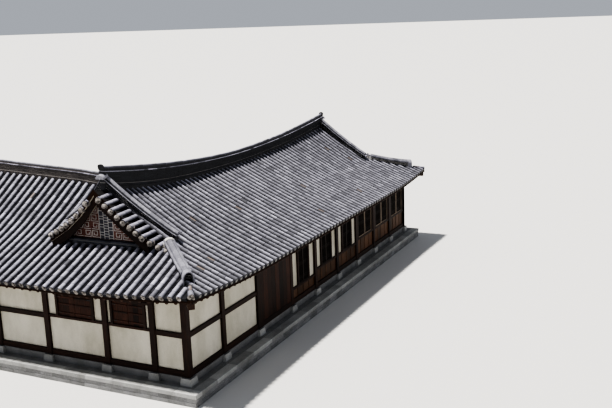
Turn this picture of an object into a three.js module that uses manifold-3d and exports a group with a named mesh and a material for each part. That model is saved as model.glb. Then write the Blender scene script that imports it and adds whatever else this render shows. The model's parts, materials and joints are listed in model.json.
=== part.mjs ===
// Hanok house: an L-shaped Korean timber house with hip-and-gable tiled roofs. Millimetres, +Z up.
// The long arm runs along X and the wing runs back along Y from its near end.
// Plan positions are measured from the near outer corner of the eaves. The group's own position
// centres the house.
import * as THREE from "three";
import { mergeVertices } from "three/addons/utils/BufferGeometryUtils.js";
import Module from "manifold-3d";

const wasm = await Module();
wasm.setup();

// Driving dimensions
const ARM_LENGTH = 24050; // eave to eave along X
const WING_LENGTH = 17650; // eave to eave along Y, over the arm and the wing
const ROOF_WIDTH = 10450; // eave to eave across either arm
const HALF = ROOF_WIDTH / 2;
const OVERHANG = 1050; // eave edge to wall centreline
const GABLE_INSET = 2550; // eave edge to gable wall
const VERGE = 550; // upper roof beyond the gable wall
const VERGE_START = 500; // how far up past the gable's foot the verge starts
const PLINTH_TOP = 450;
const BASE_STONE = 250;
const FOOT = PLINTH_TOP + BASE_STONE; // foot of the posts
const EAVE_TOP = FOOT + 2830; // top of the roof's clay bed at the eave edge, mid-length
const EAVE_THICK = 85; // boards and clay at the eave edge, measured upright
const ROOF_THICK = 220; // and over the walls
const THICK_REACH = 900; // how far up the roof thickens
const SLOPE_AT_EAVE = 0.395;
const SLOPE_GROWTH = 0.0108e-3; // the slope steepens towards the ridge
const CORNER_LIFT = 300;
const CORNER_REACH = 6000;
const NEAR_LIFT = { bed: 680, top: 850 }; // rise of roof and ridge at the main ridge's near end
const FAR_LIFT = { bed: 540, top: 590 }; // and at its far end, over its middle
const WING_LIFT = 620; // rise at the wing ridge's end over the main ridge's middle
const RIDGE_HEIGHT = 710; // over the clay bed, in the middle
const WING_RIDGE_HEIGHT = 570;
const RIDGE_WIDTH = 320;
const RIDGE_SINK = 90; // how far a ridge's foot would reach into the clay bed
const RIDGE_STEPS = 8; // along a verge or hip ridge
const VERGE_RIDGE_HEIGHT = 640; // at the main ridge
const VERGE_RIDGE_FOOT_HEIGHT = 530;
const VERGE_RIDGE_WIDTH = 340;
const HIP_RIDGE_HEIGHT = 380;
const HIP_RIDGE_WIDTH = 390;
const HIP_END_EXTRA = 120; // rise of a hip ridge's lower end
const VERGE_TOP = GABLE_INSET + 170; // centreline of a verge ridge at the main ridge
const VERGE_FOOT = GABLE_INSET + 450; // and at its foot, further in
const VERGE_FOOT_D = 2420; // how far its foot is from the eave
const VALLEY_FOOT_D = GABLE_INSET + 550; // the same beside the valley, which it stays off
const HIP_TOP = GABLE_INSET - 50; // a hip ridge's upper end, from both eaves
const HIP_FOOT = [780, 610]; // its lower end, from the end's eave and from the side's
const GABLE_WALL = 200;
const GABLE_SIDE = 60; // gable wall's narrowing at each side
const COPING = 230;
const COPING_RISE = 160; // coping's top over the clay bed at the gable's foot
const COPING_HEIGHT = 420;
const COPING_SIDE = 420; // coping's ends, in from the gable's
const BARGEBOARD_DEPTH = 320;
const BARGEBOARD_THICK = 50;
const BARGEBOARD_IN = 60; // behind the verge's edge
const GAP = 0.3; // between touching pieces
const FUSED = 5; // how far timbers that are one piece run into each other
const THROUGH = 200; // past both faces of a wall
const ABOVE_ALL = 4000; // higher than anything that stands on the roof
const POST = 210;
const SILL_HEIGHT = 200;
const RAIL = 170;
const RAIL_OUT = 85; // rails' and jambs' outer face from the wall line
const PLASTER_OUT = 15; // plaster's outer face, behind the posts' and rails'
const PLASTER_IN = POST / 2; // and its inner face, flush with the sills
const PLATE_BOTTOM = FOOT + 2780; // underside of the top plates
const PLATE_REACH = 900; // more than a top plate's height, before the roof trims it
const HEAD_RAIL = 130; // rail under a top plate
const MID_RAIL = FOOT + 1540; // top of the middle rail
const WINDOW_HEAD = FOOT + 2380;
const JAMB = 90;
const SHUTTER_THICK = 40;
const DOOR_HEAD = FOOT + 2450;
const LINTEL = 180;
const LEAF_THICK = 50;
const LEAF_CLEARANCE = 6;
const LEAF_OUT = 70; // leaf's middle, outwards from the wall line
const MEETING_GAP = 8; // between the two leaves
const PIVOT_RADIUS = 18;
const SOCKET_RADIUS = 18.8;
const PIVOT_LENGTH = 31;
const PLINTH_EDGE = 700; // beyond the wall line
const STONE_HALF = 190; // half a base stone's width
const FOOTING_HALF = 110; // half a footing's thickness
const BEDDED = 50; // how far stones and footings run into the plinth
const FLOOR_TOP = FOOT + 300;
const FLOOR_CLEARANCE = 10; // between the floor and the base stones
const FRONT_BAYS = [2250, 2600, 2850, 2400, 2400, 2400, 2350, 2350, 2350];
const SIDE_BAYS = [1300, 2000, 2650, 2400, 2400, 2400, 2400];
const REAR_BAYS = [1750, 2400, 2400, 2350, 2350, 2350];
const FAR_END_BAYS = [3300, 2650, 2400];
const WING_INNER_BAYS = [2400, 2400, 2400];
const WING_END_BAYS = [2900, 2550, 2900];

// Colours
const TILE = [0x5a5c63, 0.85];
const TIMBER = [0x3b2418, 0.7];
const PLASTER = [0xcfc8b4, 0.95];
const STONE = [0x8a8780, 0.95];
const BRICK = [0x6e3b30, 0.9];

const house = new THREE.Group();
house.position.set(-ARM_LENGTH / 2, -WING_LENGTH / 2, 0);

// A closed three.js geometry as a manifold-3d solid
function solidOf(geometry) {
  const g = geometry.index ? geometry.toNonIndexed() : geometry.clone();
  g.deleteAttribute("normal");
  g.deleteAttribute("uv");
  const merged = mergeVertices(g, 1e-3);
  return new wasm.Manifold(
    new wasm.Mesh({
      numProp: 3,
      vertProperties: new Float32Array(merged.attributes.position.array),
      triVerts: new Uint32Array(merged.index.array),
    }),
  );
}

// Joins the flat triangles that cuts leave
const cleaned = (solid) => solid.asOriginal().simplify(0.01);

function geometryOf(solid) {
  const mesh = solid.getMesh();
  const g = new THREE.BufferGeometry();
  g.setAttribute("position", new THREE.BufferAttribute(mesh.vertProperties, 3));
  g.setIndex(new THREE.BufferAttribute(mesh.triVerts, 1));
  return g;
}

function addPiece(name, solid, [color, roughness]) {
  const material = new THREE.MeshStandardMaterial({ color, roughness, metalness: 0 });
  const mesh = new THREE.Mesh(geometryOf(cleaned(solid)), material);
  mesh.name = name;
  house.add(mesh);
}

// A box from its lowest corner to its highest corner
function box(x0, y0, z0, x1, y1, z1) {
  const g = new THREE.BoxGeometry(x1 - x0, y1 - y0, z1 - z0);
  g.translate((x0 + x1) / 2, (y0 + y1) / 2, (z0 + z1) / 2);
  return solidOf(g);
}

const joined = (solids) => solids.reduce((a, b) => a.add(b));

// Roof form: the level of the tiles over a plan point of one slope
const rise = (d) => SLOPE_AT_EAVE * d + SLOPE_GROWTH * d * d;

function cornerLift(x, y) {
  const corners = [
    [0, 0],
    [ARM_LENGTH, 0],
    [ARM_LENGTH, ROOF_WIDTH],
    [0, WING_LENGTH],
    [ROOF_WIDTH, WING_LENGTH],
  ];
  let lift = 0;
  for (const [cx, cy] of corners) {
    const away = Math.max(Math.abs(x - cx), Math.abs(y - cy));
    lift += CORNER_LIFT * Math.max(0, 1 - away / CORNER_REACH) ** 2;
  }
  return lift;
}

// How much the ridge lines rise over the main ridge's middle
const MIDDLE = ARM_LENGTH / 2;
const awayFromMiddle = (x) => Math.abs(x - MIDDLE) / (MIDDLE - GABLE_INSET);
function armLift(x) {
  const away = awayFromMiddle(x);
  return x < MIDDLE ? NEAR_LIFT.bed * away ** 3.2 : FAR_LIFT.bed * away ** 1.9;
}

function armRidgeHeight(x) {
  const away = awayFromMiddle(x);
  const top = x < MIDDLE ? NEAR_LIFT.top * away ** 1.7 : FAR_LIFT.top * away ** 1.9;
  return RIDGE_HEIGHT + top - armLift(x);
}

const WING_START_SHARE = 0.15; // of the wing ridge's rise, where it leaves the main ridge
function wingLift(y) {
  const away = Math.max(0, y - HALF) / (WING_LENGTH - GABLE_INSET - HALF);
  return WING_LIFT * (WING_START_SHARE + (1 - WING_START_SHARE) * away ** 0.9);
}

// Past the arm's hip or valley the wing's rise takes over from the arm's.
const BLEND = 3000;
function mixedLift(y, past) {
  const share = Math.min(1, Math.max(0, past / BLEND));
  return armLift(y) * (1 - share) + wingLift(y) * share;
}

// A slope's level at a distance from its eave, under a ridge line that rises by lift
const ridgeShare = (d) => (Math.max(0, d - GABLE_INSET) / (HALF - GABLE_INSET)) ** 1.2;
const lifted = (d, lift) => rise(d) + lift * ridgeShare(d);

// Each slope's distance from its own eave, and its level above the eave edge
const SLOPES = {
  main_front: {
    from: (x, y) => y,
    level: (x, y) => lifted(y, armLift(x)),
  },
  main_back: {
    from: (x, y) => ROOF_WIDTH - y,
    level: (x, y) => lifted(ROOF_WIDTH - y, armLift(x)),
  },
  near_gable_back: {
    from: (x, y) => ROOF_WIDTH - y,
    level: (x, y) => lifted(ROOF_WIDTH - y, armLift(x + 2 * (y - HALF))),
  },
  wing_front: {
    from: (x) => x,
    level: (x, y) => lifted(x, mixedLift(y, y - (ROOF_WIDTH - x))),
  },
  wing_back: {
    from: (x) => ROOF_WIDTH - x,
    level: (x, y) => lifted(ROOF_WIDTH - x, mixedLift(y, y - x)),
  },
  far_hip: {
    from: (x) => ARM_LENGTH - x,
    level: (x) => rise(ARM_LENGTH - x),
  },
  wing_hip: {
    from: (x, y) => WING_LENGTH - y,
    level: (x, y) => rise(WING_LENGTH - y),
  },
};
const levelOn = (slope, x, y) => EAVE_TOP + SLOPES[slope].level(x, y) + cornerLift(x, y);

function undersideOf(slope, x, y) {
  const share = Math.min(1, Math.max(0, SLOPES[slope].from(x, y) / THICK_REACH));
  return levelOn(slope, x, y) - EAVE_THICK - (ROOF_THICK - EAVE_THICK) * share;
}

// Which slope covers a plan point: the low roof is hipped, and the gables stand on it.
function slopeAt(x, y) {
  const inArm = y < ROOF_WIDTH;
  const inWing = x < ROOF_WIDTH;
  const armSide = Math.min(y, ROOF_WIDTH - y);
  const wingSide = Math.min(x, ROOF_WIDTH - x);
  const armEnd = ARM_LENGTH - x;
  const wingEnd = WING_LENGTH - y;
  let best = null;
  const offer = (slope, d) => {
    if (d > 0 && (!best || d > best.d)) best = { slope, d };
  };
  if (inArm) {
    if (x < GABLE_INSET && x < armSide) offer("wing_front", x);
    else if (armEnd < GABLE_INSET && armEnd < armSide) offer("far_hip", armEnd);
    else offer(y < HALF ? "main_front" : "main_back", armSide);
  }
  if (inWing) {
    if (wingEnd < GABLE_INSET && wingEnd < wingSide) offer("wing_hip", wingEnd);
    else if (y > wingSide) offer(x < HALF ? "wing_front" : "wing_back", wingSide);
  }
  return best && best.slope;
}

// Plan grid: the same distances from every eave, so that hips and valleys follow its diagonals
const STEPS = [0, 900, 1700, GABLE_INSET, GABLE_INSET + VERGE_START, 3900, 4550, HALF];
const mirrored = STEPS.map((d) => ROOF_WIDTH - d).reverse();
function spread(from, to, n) {
  return Array.from({ length: n }, (_, i) => from + ((to - from) * (i + 1)) / (n + 1));
}
const unique = (list) => [...new Set(list.map((v) => Math.round(v * 10) / 10))].sort((a, b) => a - b);
const armStations = unique([
  ...STEPS,
  ...mirrored,
  GABLE_INSET - VERGE,
  ROOF_WIDTH - GABLE_INSET + VERGE,
  ...spread(ROOF_WIDTH, ARM_LENGTH - HALF, 5),
  ...STEPS.map((d) => ARM_LENGTH - d),
  ARM_LENGTH - GABLE_INSET + VERGE,
]);
const wingStations = unique([
  ...STEPS,
  ...mirrored,
  GABLE_INSET - VERGE,
  ROOF_WIDTH - GABLE_INSET + VERGE,
  ...STEPS.map((d) => WING_LENGTH - d),
  WING_LENGTH - GABLE_INSET + VERGE,
]);

// The diagonal that a cell of the plan grid is split along: true where it follows x - y
function risingDiagonal(x, y) {
  if (x > ARM_LENGTH - HALF) return y > HALF;
  if (y > WING_LENGTH - HALF) return x > HALF;
  if (x < HALF) return y < HALF;
  return true;
}

// Plan triangles whose middle passes a test
function planTriangles(keep) {
  const out = [];
  for (let i = 0; i + 1 < armStations.length; i++) {
    for (let j = 0; j + 1 < wingStations.length; j++) {
      const [x0, x1] = [armStations[i], armStations[i + 1]];
      const [y0, y1] = [wingStations[j], wingStations[j + 1]];
      if (x0 >= ROOF_WIDTH && y0 >= ROOF_WIDTH) continue;
      const [a, b, c, d] = [
        [x0, y0],
        [x1, y0],
        [x1, y1],
        [x0, y1],
      ];
      const pair = risingDiagonal((x0 + x1) / 2, (y0 + y1) / 2)
        ? [
            [a, b, c],
            [a, c, d],
          ]
        : [
            [a, b, d],
            [b, c, d],
          ];
      for (const t of pair) {
        const mx = (t[0][0] + t[1][0] + t[2][0]) / 3;
        const my = (t[0][1] + t[1][1] + t[2][1]) / 3;
        if (keep(mx, my)) out.push(t);
      }
    }
  }
  return out;
}

// A solid over plan triangles, between two level functions
function solidOver(triangles, top, bottom) {
  const key = (p) => p[0] + "," + p[1];
  const edges = new Map();
  const position = [];
  const put = (p, level) => position.push(p[0], p[1], level(p[0], p[1]));
  for (const t of triangles) {
    t.forEach((p) => put(p, top));
    [t[0], t[2], t[1]].forEach((p) => put(p, bottom));
    for (let k = 0; k < 3; k++) {
      const [p, q] = [t[k], t[(k + 1) % 3]];
      if (edges.has(key(q) + "/" + key(p))) edges.delete(key(q) + "/" + key(p));
      else edges.set(key(p) + "/" + key(q), [p, q]);
    }
  }
  for (const [p, q] of edges.values()) {
    put(p, bottom);
    put(q, bottom);
    put(q, top);
    put(p, bottom);
    put(q, top);
    put(p, top);
  }
  const g = new THREE.BufferGeometry();
  g.setAttribute("position", new THREE.BufferAttribute(new Float32Array(position), 3));
  return solidOf(g);
}

// Overhanging verges: the upper slopes carried past the gable walls
const nearVerge = (x, y) =>
  x > GABLE_INSET - VERGE && x < GABLE_INSET && Math.min(y, ROOF_WIDTH - y) > GABLE_INSET + VERGE_START;
const farVerge = (x, y) => nearVerge(ARM_LENGTH - x, y);
const wingVerge = (x, y) => nearVerge(WING_LENGTH - y, x) && y > ROOF_WIDTH;

const slopeArea = {
  main_front: (x, y) => slopeAt(x, y) === "main_front" || ((nearVerge(x, y) || farVerge(x, y)) && y < HALF),
  main_back: (x, y) => (slopeAt(x, y) === "main_back" && x > HALF) || (farVerge(x, y) && y > HALF),
  near_gable_back: (x, y) => (slopeAt(x, y) === "main_back" && x < HALF) || (nearVerge(x, y) && y > HALF),
  wing_front: (x, y) => slopeAt(x, y) === "wing_front" || (wingVerge(x, y) && x < HALF),
  wing_back: (x, y) => slopeAt(x, y) === "wing_back" || (wingVerge(x, y) && x > HALF),
  far_hip: (x, y) => slopeAt(x, y) === "far_hip",
  wing_hip: (x, y) => slopeAt(x, y) === "wing_hip",
};

const roofs = {};
for (const [area, keep] of Object.entries(slopeArea)) {
  const top = (x, y) => levelOn(area, x, y);
  roofs[area] = solidOver(planTriangles(keep), top, (x, y) => undersideOf(area, x, y));
}

// An upright slit along a straight line of the plan
function slit([ax, ay], [bx, by], top = 3 * EAVE_TOP) {
  const past = 2; // beyond both ends
  const length = Math.hypot(bx - ax, by - ay) + 2 * past;
  const g = new THREE.BoxGeometry(length, GAP, top);
  g.rotateZ(Math.atan2(by - ay, bx - ax));
  g.translate((ax + bx) / 2, (ay + by) / 2, top / 2);
  return solidOf(g);
}

// Slopes meet at hips, valleys, ridges and the gables' feet, and keep a hair's width apart there.
const gableFoot = EAVE_TOP + rise(GABLE_INSET) + 15;
const farX = ARM_LENGTH - GABLE_INSET;
const backY = ROOF_WIDTH - GABLE_INSET;
const wingY = WING_LENGTH - GABLE_INSET;
const meetingLines = [
  slit([0, 0], [GABLE_INSET, GABLE_INSET]),
  slit([ARM_LENGTH, 0], [farX, GABLE_INSET]),
  slit([ARM_LENGTH, ROOF_WIDTH], [farX, backY]),
  slit([0, WING_LENGTH], [GABLE_INSET, wingY]),
  slit([ROOF_WIDTH, WING_LENGTH], [backY, wingY]),
  slit([HALF, HALF], [ROOF_WIDTH, ROOF_WIDTH]),
  slit([HALF, HALF], [GABLE_INSET, backY]),
  slit([GABLE_INSET - VERGE, HALF], [farX + VERGE, HALF]),
  slit([HALF, HALF], [HALF, wingY + VERGE]),
  slit([GABLE_INSET, GABLE_INSET], [GABLE_INSET, backY], gableFoot),
  slit([farX, GABLE_INSET], [farX, backY], gableFoot),
  slit([GABLE_INSET, wingY], [backY, wingY], gableFoot),
];
const trimmed = (solid, tools) => tools.reduce((a, b) => a.subtract(b), solid);
const largest = (solid) => solid.decompose().sort((a, b) => b.volume() - a.volume())[0];
for (const area of Object.keys(slopeArea)) {
  addPiece("roof_" + area, largest(trimmed(roofs[area], meetingLines)), TILE);
}

// Everything above the roof's underside, to trim what stands below it, and the roof's body, to seat ridges
const aboveRoof = {};
for (const [area, keep] of Object.entries(slopeArea)) {
  const top = (x, y) => levelOn(area, x, y) + ABOVE_ALL;
  aboveRoof[area] = solidOver(planTriangles(keep), top, (x, y) => undersideOf(area, x, y) - GAP);
}
const roofBody = Object.values(roofs).map((solid) => solid.translate([0, 0, GAP]));

// A ridge along plan points: its foot sinks a little into the tiles and is cut back to them.
function ridge(points, slope, width, height) {
  const shoulder = width / 4;
  const sections = points.map(([x, y], i) => {
    const before = points[Math.max(0, i - 1)];
    const after = points[Math.min(points.length - 1, i + 1)];
    const along = new THREE.Vector2(after[0] - before[0], after[1] - before[1]).normalize();
    const across = new THREE.Vector2(-along.y, along.x).multiplyScalar(width / 2);
    const level = levelOn(slope, x, y);
    const low = level - RIDGE_SINK;
    const high = level + height(x, y, i / (points.length - 1));
    return [
      [x - across.x, y - across.y, low],
      [x + across.x, y + across.y, low],
      [x + across.x, y + across.y, high - shoulder],
      [x + across.x / 2, y + across.y / 2, high],
      [x - across.x / 2, y - across.y / 2, high],
      [x - across.x, y - across.y, high - shoulder],
    ];
  });
  const position = [];
  const face = (a, b, c) => position.push(...a, ...b, ...c);
  const n = sections[0].length;
  for (let i = 0; i + 1 < sections.length; i++) {
    for (let k = 0; k < n; k++) {
      const [a, b] = [sections[i][k], sections[i][(k + 1) % n]];
      const [c, d] = [sections[i + 1][(k + 1) % n], sections[i + 1][k]];
      face(a, b, c);
      face(a, c, d);
    }
  }
  const last = sections[sections.length - 1];
  for (let k = 1; k + 1 < n; k++) {
    face(sections[0][0], sections[0][k + 1], sections[0][k]);
    face(last[0], last[k], last[k + 1]);
  }
  const g = new THREE.BufferGeometry();
  g.setAttribute("position", new THREE.BufferAttribute(new Float32Array(position), 3));
  return solidOf(g);
}

// Along a line of the plan, n + 1 points
function line(a, b, n) {
  return Array.from({ length: n + 1 }, (_, i) => [
    a[0] + ((b[0] - a[0]) * i) / n,
    a[1] + ((b[1] - a[1]) * i) / n,
  ]);
}

// Positions of the three ends of the roof, as maps from (in from the end, across) to the plan
const ends = {
  near: {
    plan: (a, b) => [a, b],
    slopes: ["main_front", "near_gable_back"],
    hips: ["main_front"],
    feet: [VERGE_FOOT_D, VALLEY_FOOT_D],
  },
  far: {
    plan: (a, b) => [ARM_LENGTH - a, b],
    slopes: ["main_front", "main_back"],
    hips: ["main_front", "main_back"],
    feet: [VERGE_FOOT_D, VERGE_FOOT_D],
  },
  wing: {
    plan: (a, b) => [b, WING_LENGTH - a],
    slopes: ["wing_front", "wing_back"],
    hips: ["wing_front", "wing_back"],
    feet: [VERGE_FOOT_D, VERGE_FOOT_D],
  },
};

// The two main ridges
const armRidgeLine = line([GABLE_INSET, HALF], [ARM_LENGTH - GABLE_INSET, HALF], 22);
const mainRidge = ridge(armRidgeLine, "main_front", RIDGE_WIDTH, armRidgeHeight);
addPiece("main_ridge", largest(trimmed(mainRidge, roofBody)), TILE);
const wingRidgeStart = [HALF, HALF + RIDGE_WIDTH / 2 + GAP];
const wingRidgeLine = line(wingRidgeStart, [HALF, WING_LENGTH - GABLE_INSET], 14);
const wingRidge = ridge(wingRidgeLine, "wing_front", RIDGE_WIDTH, () => WING_RIDGE_HEIGHT);
addPiece("wing_ridge", largest(trimmed(wingRidge, roofBody)), TILE);

// A box between two plan points of an end
function endBox(plan, a0, b0, z0, a1, b1, z1) {
  const [xa, ya] = plan(a0, b0);
  const [xb, yb] = plan(a1, b1);
  return box(Math.min(xa, xb), Math.min(ya, yb), z0, Math.max(xa, xb), Math.max(ya, yb), z1);
}

// Verge ridges run down beside the gables, and hip ridges down to the eaves' corners.
for (const [end, { plan, slopes, hips, feet }] of Object.entries(ends)) {
  const beside = RIDGE_WIDTH / 2 + GAP;
  const top = 3 * EAVE_TOP;
  const mainRidgeSpace = endBox(plan, 0, HALF - beside, EAVE_TOP, 2 * GABLE_INSET, HALF + beside, top);
  const across = (d, side) => (side === 0 ? d : ROOF_WIDTH - d);
  slopes.forEach((slope, side) => {
    const from = [VERGE_TOP, HALF - beside / 2];
    const to = [VERGE_FOOT, feet[side]];
    const points = line(from, to, RIDGE_STEPS).map(([a, d]) => plan(a, across(d, side)));
    const lower = VERGE_RIDGE_HEIGHT - VERGE_RIDGE_FOOT_HEIGHT;
    const height = (x, y, share) => VERGE_RIDGE_HEIGHT - lower * share;
    const solid = ridge(points, slope, VERGE_RIDGE_WIDTH, height);
    const name = end + "_gable_verge_ridge_" + (side + 1);
    addPiece(name, largest(trimmed(solid, [...roofBody, mainRidgeSpace])), TILE);
  });
  hips.forEach((slope, side) => {
    const down = line([HIP_TOP, HIP_TOP], HIP_FOOT, RIDGE_STEPS);
    const points = down.map(([a, d]) => plan(a, across(d, side)));
    const height = (x, y, share) => HIP_RIDGE_HEIGHT + HIP_END_EXTRA * share ** 3;
    const solid = ridge(points, slope, HIP_RIDGE_WIDTH, height);
    addPiece(end + "_hip_ridge_" + (side + 1), largest(trimmed(solid, roofBody)), TILE);
  });
}

// Gable walls of patterned brick, with a tile coping at their foot and boards under the verges
for (const [end, { plan, slopes }] of Object.entries(ends)) {
  const bed = EAVE_TOP + rise(GABLE_INSET);
  const [foot, top] = [bed - ROOF_THICK, bed + ABOVE_ALL];
  const verges = slopes.map((slope) => aboveRoof[slope]);

  const [wallNear, wallFar] = [GABLE_INSET + GABLE_SIDE, ROOF_WIDTH - GABLE_INSET - GABLE_SIDE];
  const wall = endBox(plan, GABLE_INSET + GAP, wallNear, foot, GABLE_INSET + GABLE_WALL, wallFar, top);
  addPiece(end + "_gable_wall", largest(trimmed(wall, Object.values(aboveRoof))), BRICK);

  const copingTop = bed + COPING_RISE;
  const copingFoot = copingTop - COPING_HEIGHT;
  const [near, far] = [GABLE_INSET + COPING_SIDE, ROOF_WIDTH - GABLE_INSET - COPING_SIDE];
  const coping = endBox(plan, GABLE_INSET - COPING, near, copingFoot, GABLE_INSET, far, copingTop);
  addPiece(end + "_gable_coping", largest(trimmed(coping, [...roofBody, ...verges])), TILE);

  const boardOut = GABLE_INSET - VERGE + BARGEBOARD_IN;
  const boardIn = boardOut + BARGEBOARD_THICK;
  const sheet = endBox(plan, boardOut, GABLE_INSET, foot, boardIn, ROOF_WIDTH - GABLE_INSET, top);
  const band = verges.map((above) => {
    const reach = above.translate([0, 0, -BARGEBOARD_DEPTH]);
    return sheet.intersect(reach).subtract(above);
  });
  const boards = trimmed(joined(band), [...verges, ...roofBody]);
  addPiece(end + "_gable_bargeboards", largest(boards), TIMBER);
}

// The six outer walls: each maps a place along the wall and a distance outwards to the plan.
const WEST = OVERHANG;
const SOUTH = OVERHANG;
const EAST = ARM_LENGTH - OVERHANG;
const NORTH = ROOF_WIDTH - OVERHANG;
const INNER = ROOF_WIDTH - OVERHANG;
const WING_NORTH = WING_LENGTH - OVERHANG;

const plain = () => ({ kind: "plain" });
const door = () => ({ kind: "door" });
const window = (low, width, boarded = false) => ({ kind: "window", low: FOOT + low, width, boarded });

const walls = {
  front: {
    plan: (s, t) => [s, SOUTH - t],
    start: WEST,
    bays: FRONT_BAYS,
    fill: [
      plain(),
      plain(),
      door(),
      window(680, 950, true),
      window(870, 1000, true),
      window(870, 1000, true),
      window(1000, 1800, true),
      window(1000, 1800, true),
      window(1000, 1800, true),
    ],
    corners: true,
  },
  west: {
    plan: (s, t) => [WEST - t, s],
    start: SOUTH,
    bays: SIDE_BAYS,
    fill: [
      plain(),
      window(1540, 1300),
      window(1540, 1520),
      plain(),
      window(1540, 1400),
      window(1540, 1400),
      plain(),
    ],
    corners: false,
  },
  rear: {
    plan: (s, t) => [s, NORTH + t],
    start: INNER,
    bays: REAR_BAYS,
    fill: [
      plain(),
      window(870, 1000),
      window(870, 1000),
      window(870, 1000),
      window(870, 1000),
      plain(),
    ],
    corners: true,
  },
  far_end: {
    plan: (s, t) => [EAST + t, s],
    start: SOUTH,
    bays: FAR_END_BAYS,
    fill: [window(1540, 1400), window(1540, 1400), plain()],
    corners: false,
  },
  wing_inner: {
    plan: (s, t) => [INNER + t, s],
    start: NORTH,
    bays: WING_INNER_BAYS,
    fill: [window(870, 1000), window(870, 1000), plain()],
    corners: false,
  },
  wing_end: {
    plan: (s, t) => [s, WING_NORTH + t],
    start: WEST,
    bays: WING_END_BAYS,
    fill: [plain(), window(1540, 1400), plain()],
    corners: true,
  },
};

function stationsOf({ start, bays }) {
  const stations = [start];
  for (const bay of bays) stations.push(stations[stations.length - 1] + bay);
  return stations;
}

// A box given along the wall, outwards from its centreline, and upwards
function wallBox({ plan }, s0, t0, z0, s1, t1, z1) {
  const [xa, ya] = plan(s0, t0);
  const [xb, yb] = plan(s1, t1);
  return box(Math.min(xa, xb), Math.min(ya, yb), z0, Math.max(xa, xb), Math.max(ya, yb), z1);
}

// The opening of a window bay, across its own middle
function openingOf(wall, bay) {
  const stations = stationsOf(wall);
  const middle = (stations[bay] + stations[bay + 1]) / 2;
  const { width, low } = wall.fill[bay];
  return { s0: middle - width / 2, s1: middle + width / 2, low };
}

// Plaster between two stations, with holes for the window surrounds. With grow it is the space that
// the plaster needs in the frame.
function plasterSheet(wall, first, last, grow) {
  const stations = stationsOf(wall);
  const reach = GAP - grow;
  const s0 = stations[first] + POST / 2 + reach;
  const s1 = stations[last] - POST / 2 - reach;
  const t0 = -PLASTER_IN - (grow > 0 ? FUSED : 0);
  const t1 = PLASTER_OUT + grow;
  const bottom = FOOT + SILL_HEIGHT + reach;
  const top = PLATE_BOTTOM - HEAD_RAIL - reach;
  let sheet = wallBox(wall, s0, t0, bottom, s1, t1, top);
  for (let bay = first; bay < last; bay++) {
    if (wall.fill[bay].kind !== "window") continue;
    const { s0: a, s1: b, low } = openingOf(wall, bay);
    const ring = JAMB + reach;
    const surround = wallBox(wall, a - ring, -THROUGH, low - ring, b + ring, THROUGH, WINDOW_HEAD + ring);
    sheet = sheet.subtract(surround);
    if (!wall.fill[bay].boarded) continue;
    const p = stations[bay] + POST / 2 - reach;
    const q = stations[bay + 1] - POST / 2 + reach;
    sheet = sheet.subtract(wallBox(wall, p, -THROUGH, FOOT, q, THROUGH, low - JAMB + reach));
  }
  return sheet;
}

// Posts, rails, window surrounds and closed shutters between two stations
function timberFrame(wall, first, last, ownsFirst, ownsLast, plate) {
  const stations = stationsOf(wall);
  const pieces = [];
  const [inner, outer] = [-POST / 2, RAIL_OUT];
  const clear = POST / 2 + GAP;
  const into = POST / 2 - FUSED;
  for (let i = first; i <= last; i++) {
    if ((i === first && !ownsFirst) || (i === last && !ownsLast)) continue;
    const [s0, s1] = [stations[i] - POST / 2, stations[i] + POST / 2];
    pieces.push(wallBox(wall, s0, -POST / 2, FOOT, s1, POST / 2, PLATE_BOTTOM - GAP));
  }
  for (let bay = first; bay < last; bay++) {
    const a = stations[bay] + (bay === first && !ownsFirst ? clear : into);
    const b = stations[bay + 1] - (bay + 1 === last && !ownsLast ? clear : into);
    const rail = (top, height) => pieces.push(wallBox(wall, a, inner, top - height, b, outer, top));
    rail(FOOT + SILL_HEIGHT, SILL_HEIGHT);
    rail(PLATE_BOTTOM - GAP, HEAD_RAIL - GAP);
    if (wall.fill[bay].kind === "plain") {
      rail(MID_RAIL, RAIL);
      continue;
    }
    const { s0, s1, low } = openingOf(wall, bay);
    rail(low, JAMB);
    rail(WINDOW_HEAD + JAMB, JAMB);
    const [jambFoot, jambHead] = [low - FUSED, WINDOW_HEAD + FUSED];
    pieces.push(wallBox(wall, s0 - JAMB, inner, jambFoot, s0, outer, jambHead));
    pieces.push(wallBox(wall, s1, inner, jambFoot, s1 + JAMB, outer, jambHead));
    const shutter = SHUTTER_THICK / 2;
    pieces.push(wallBox(wall, s0 - FUSED, -shutter, jambFoot, s1 + FUSED, shutter, jambHead));
    if (wall.fill[bay].boarded) {
      const [panelFoot, panelHead] = [FOOT + SILL_HEIGHT - FUSED, low - JAMB + FUSED];
      pieces.push(wallBox(wall, a, inner, panelFoot, b, PLASTER_OUT, panelHead));
    }
  }
  if (plate) {
    const a = stations[first] + (ownsFirst ? -POST / 2 : clear);
    const b = stations[last] + (ownsLast ? POST / 2 : -clear);
    const beam = wallBox(wall, a, -POST / 2, PLATE_BOTTOM - FUSED, b, POST / 2, PLATE_BOTTOM + PLATE_REACH);
    pieces.push(trimmed(beam, Object.values(aboveRoof)));
  }
  return joined(pieces);
}

function addWall(side, suffix, first, last, ownsFirst, ownsLast, plate) {
  const wall = walls[side];
  const frame = timberFrame(wall, first, last, ownsFirst, ownsLast, plate);
  addPiece(side + "_timber_frame" + suffix, frame.subtract(plasterSheet(wall, first, last, GAP)), TIMBER);
  addPiece(side + "_plaster_wall" + suffix, plasterSheet(wall, first, last, 0), PLASTER);
}

const DOOR_BAY = 2;
for (const side of Object.keys(walls)) {
  const { bays, corners } = walls[side];
  if (side !== "front") addWall(side, "", 0, bays.length, corners, corners, true);
}
addWall("front", "_left", 0, DOOR_BAY, true, true, false);
addWall("front", "_right", DOOR_BAY + 1, FRONT_BAYS.length, true, true, false);

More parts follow.
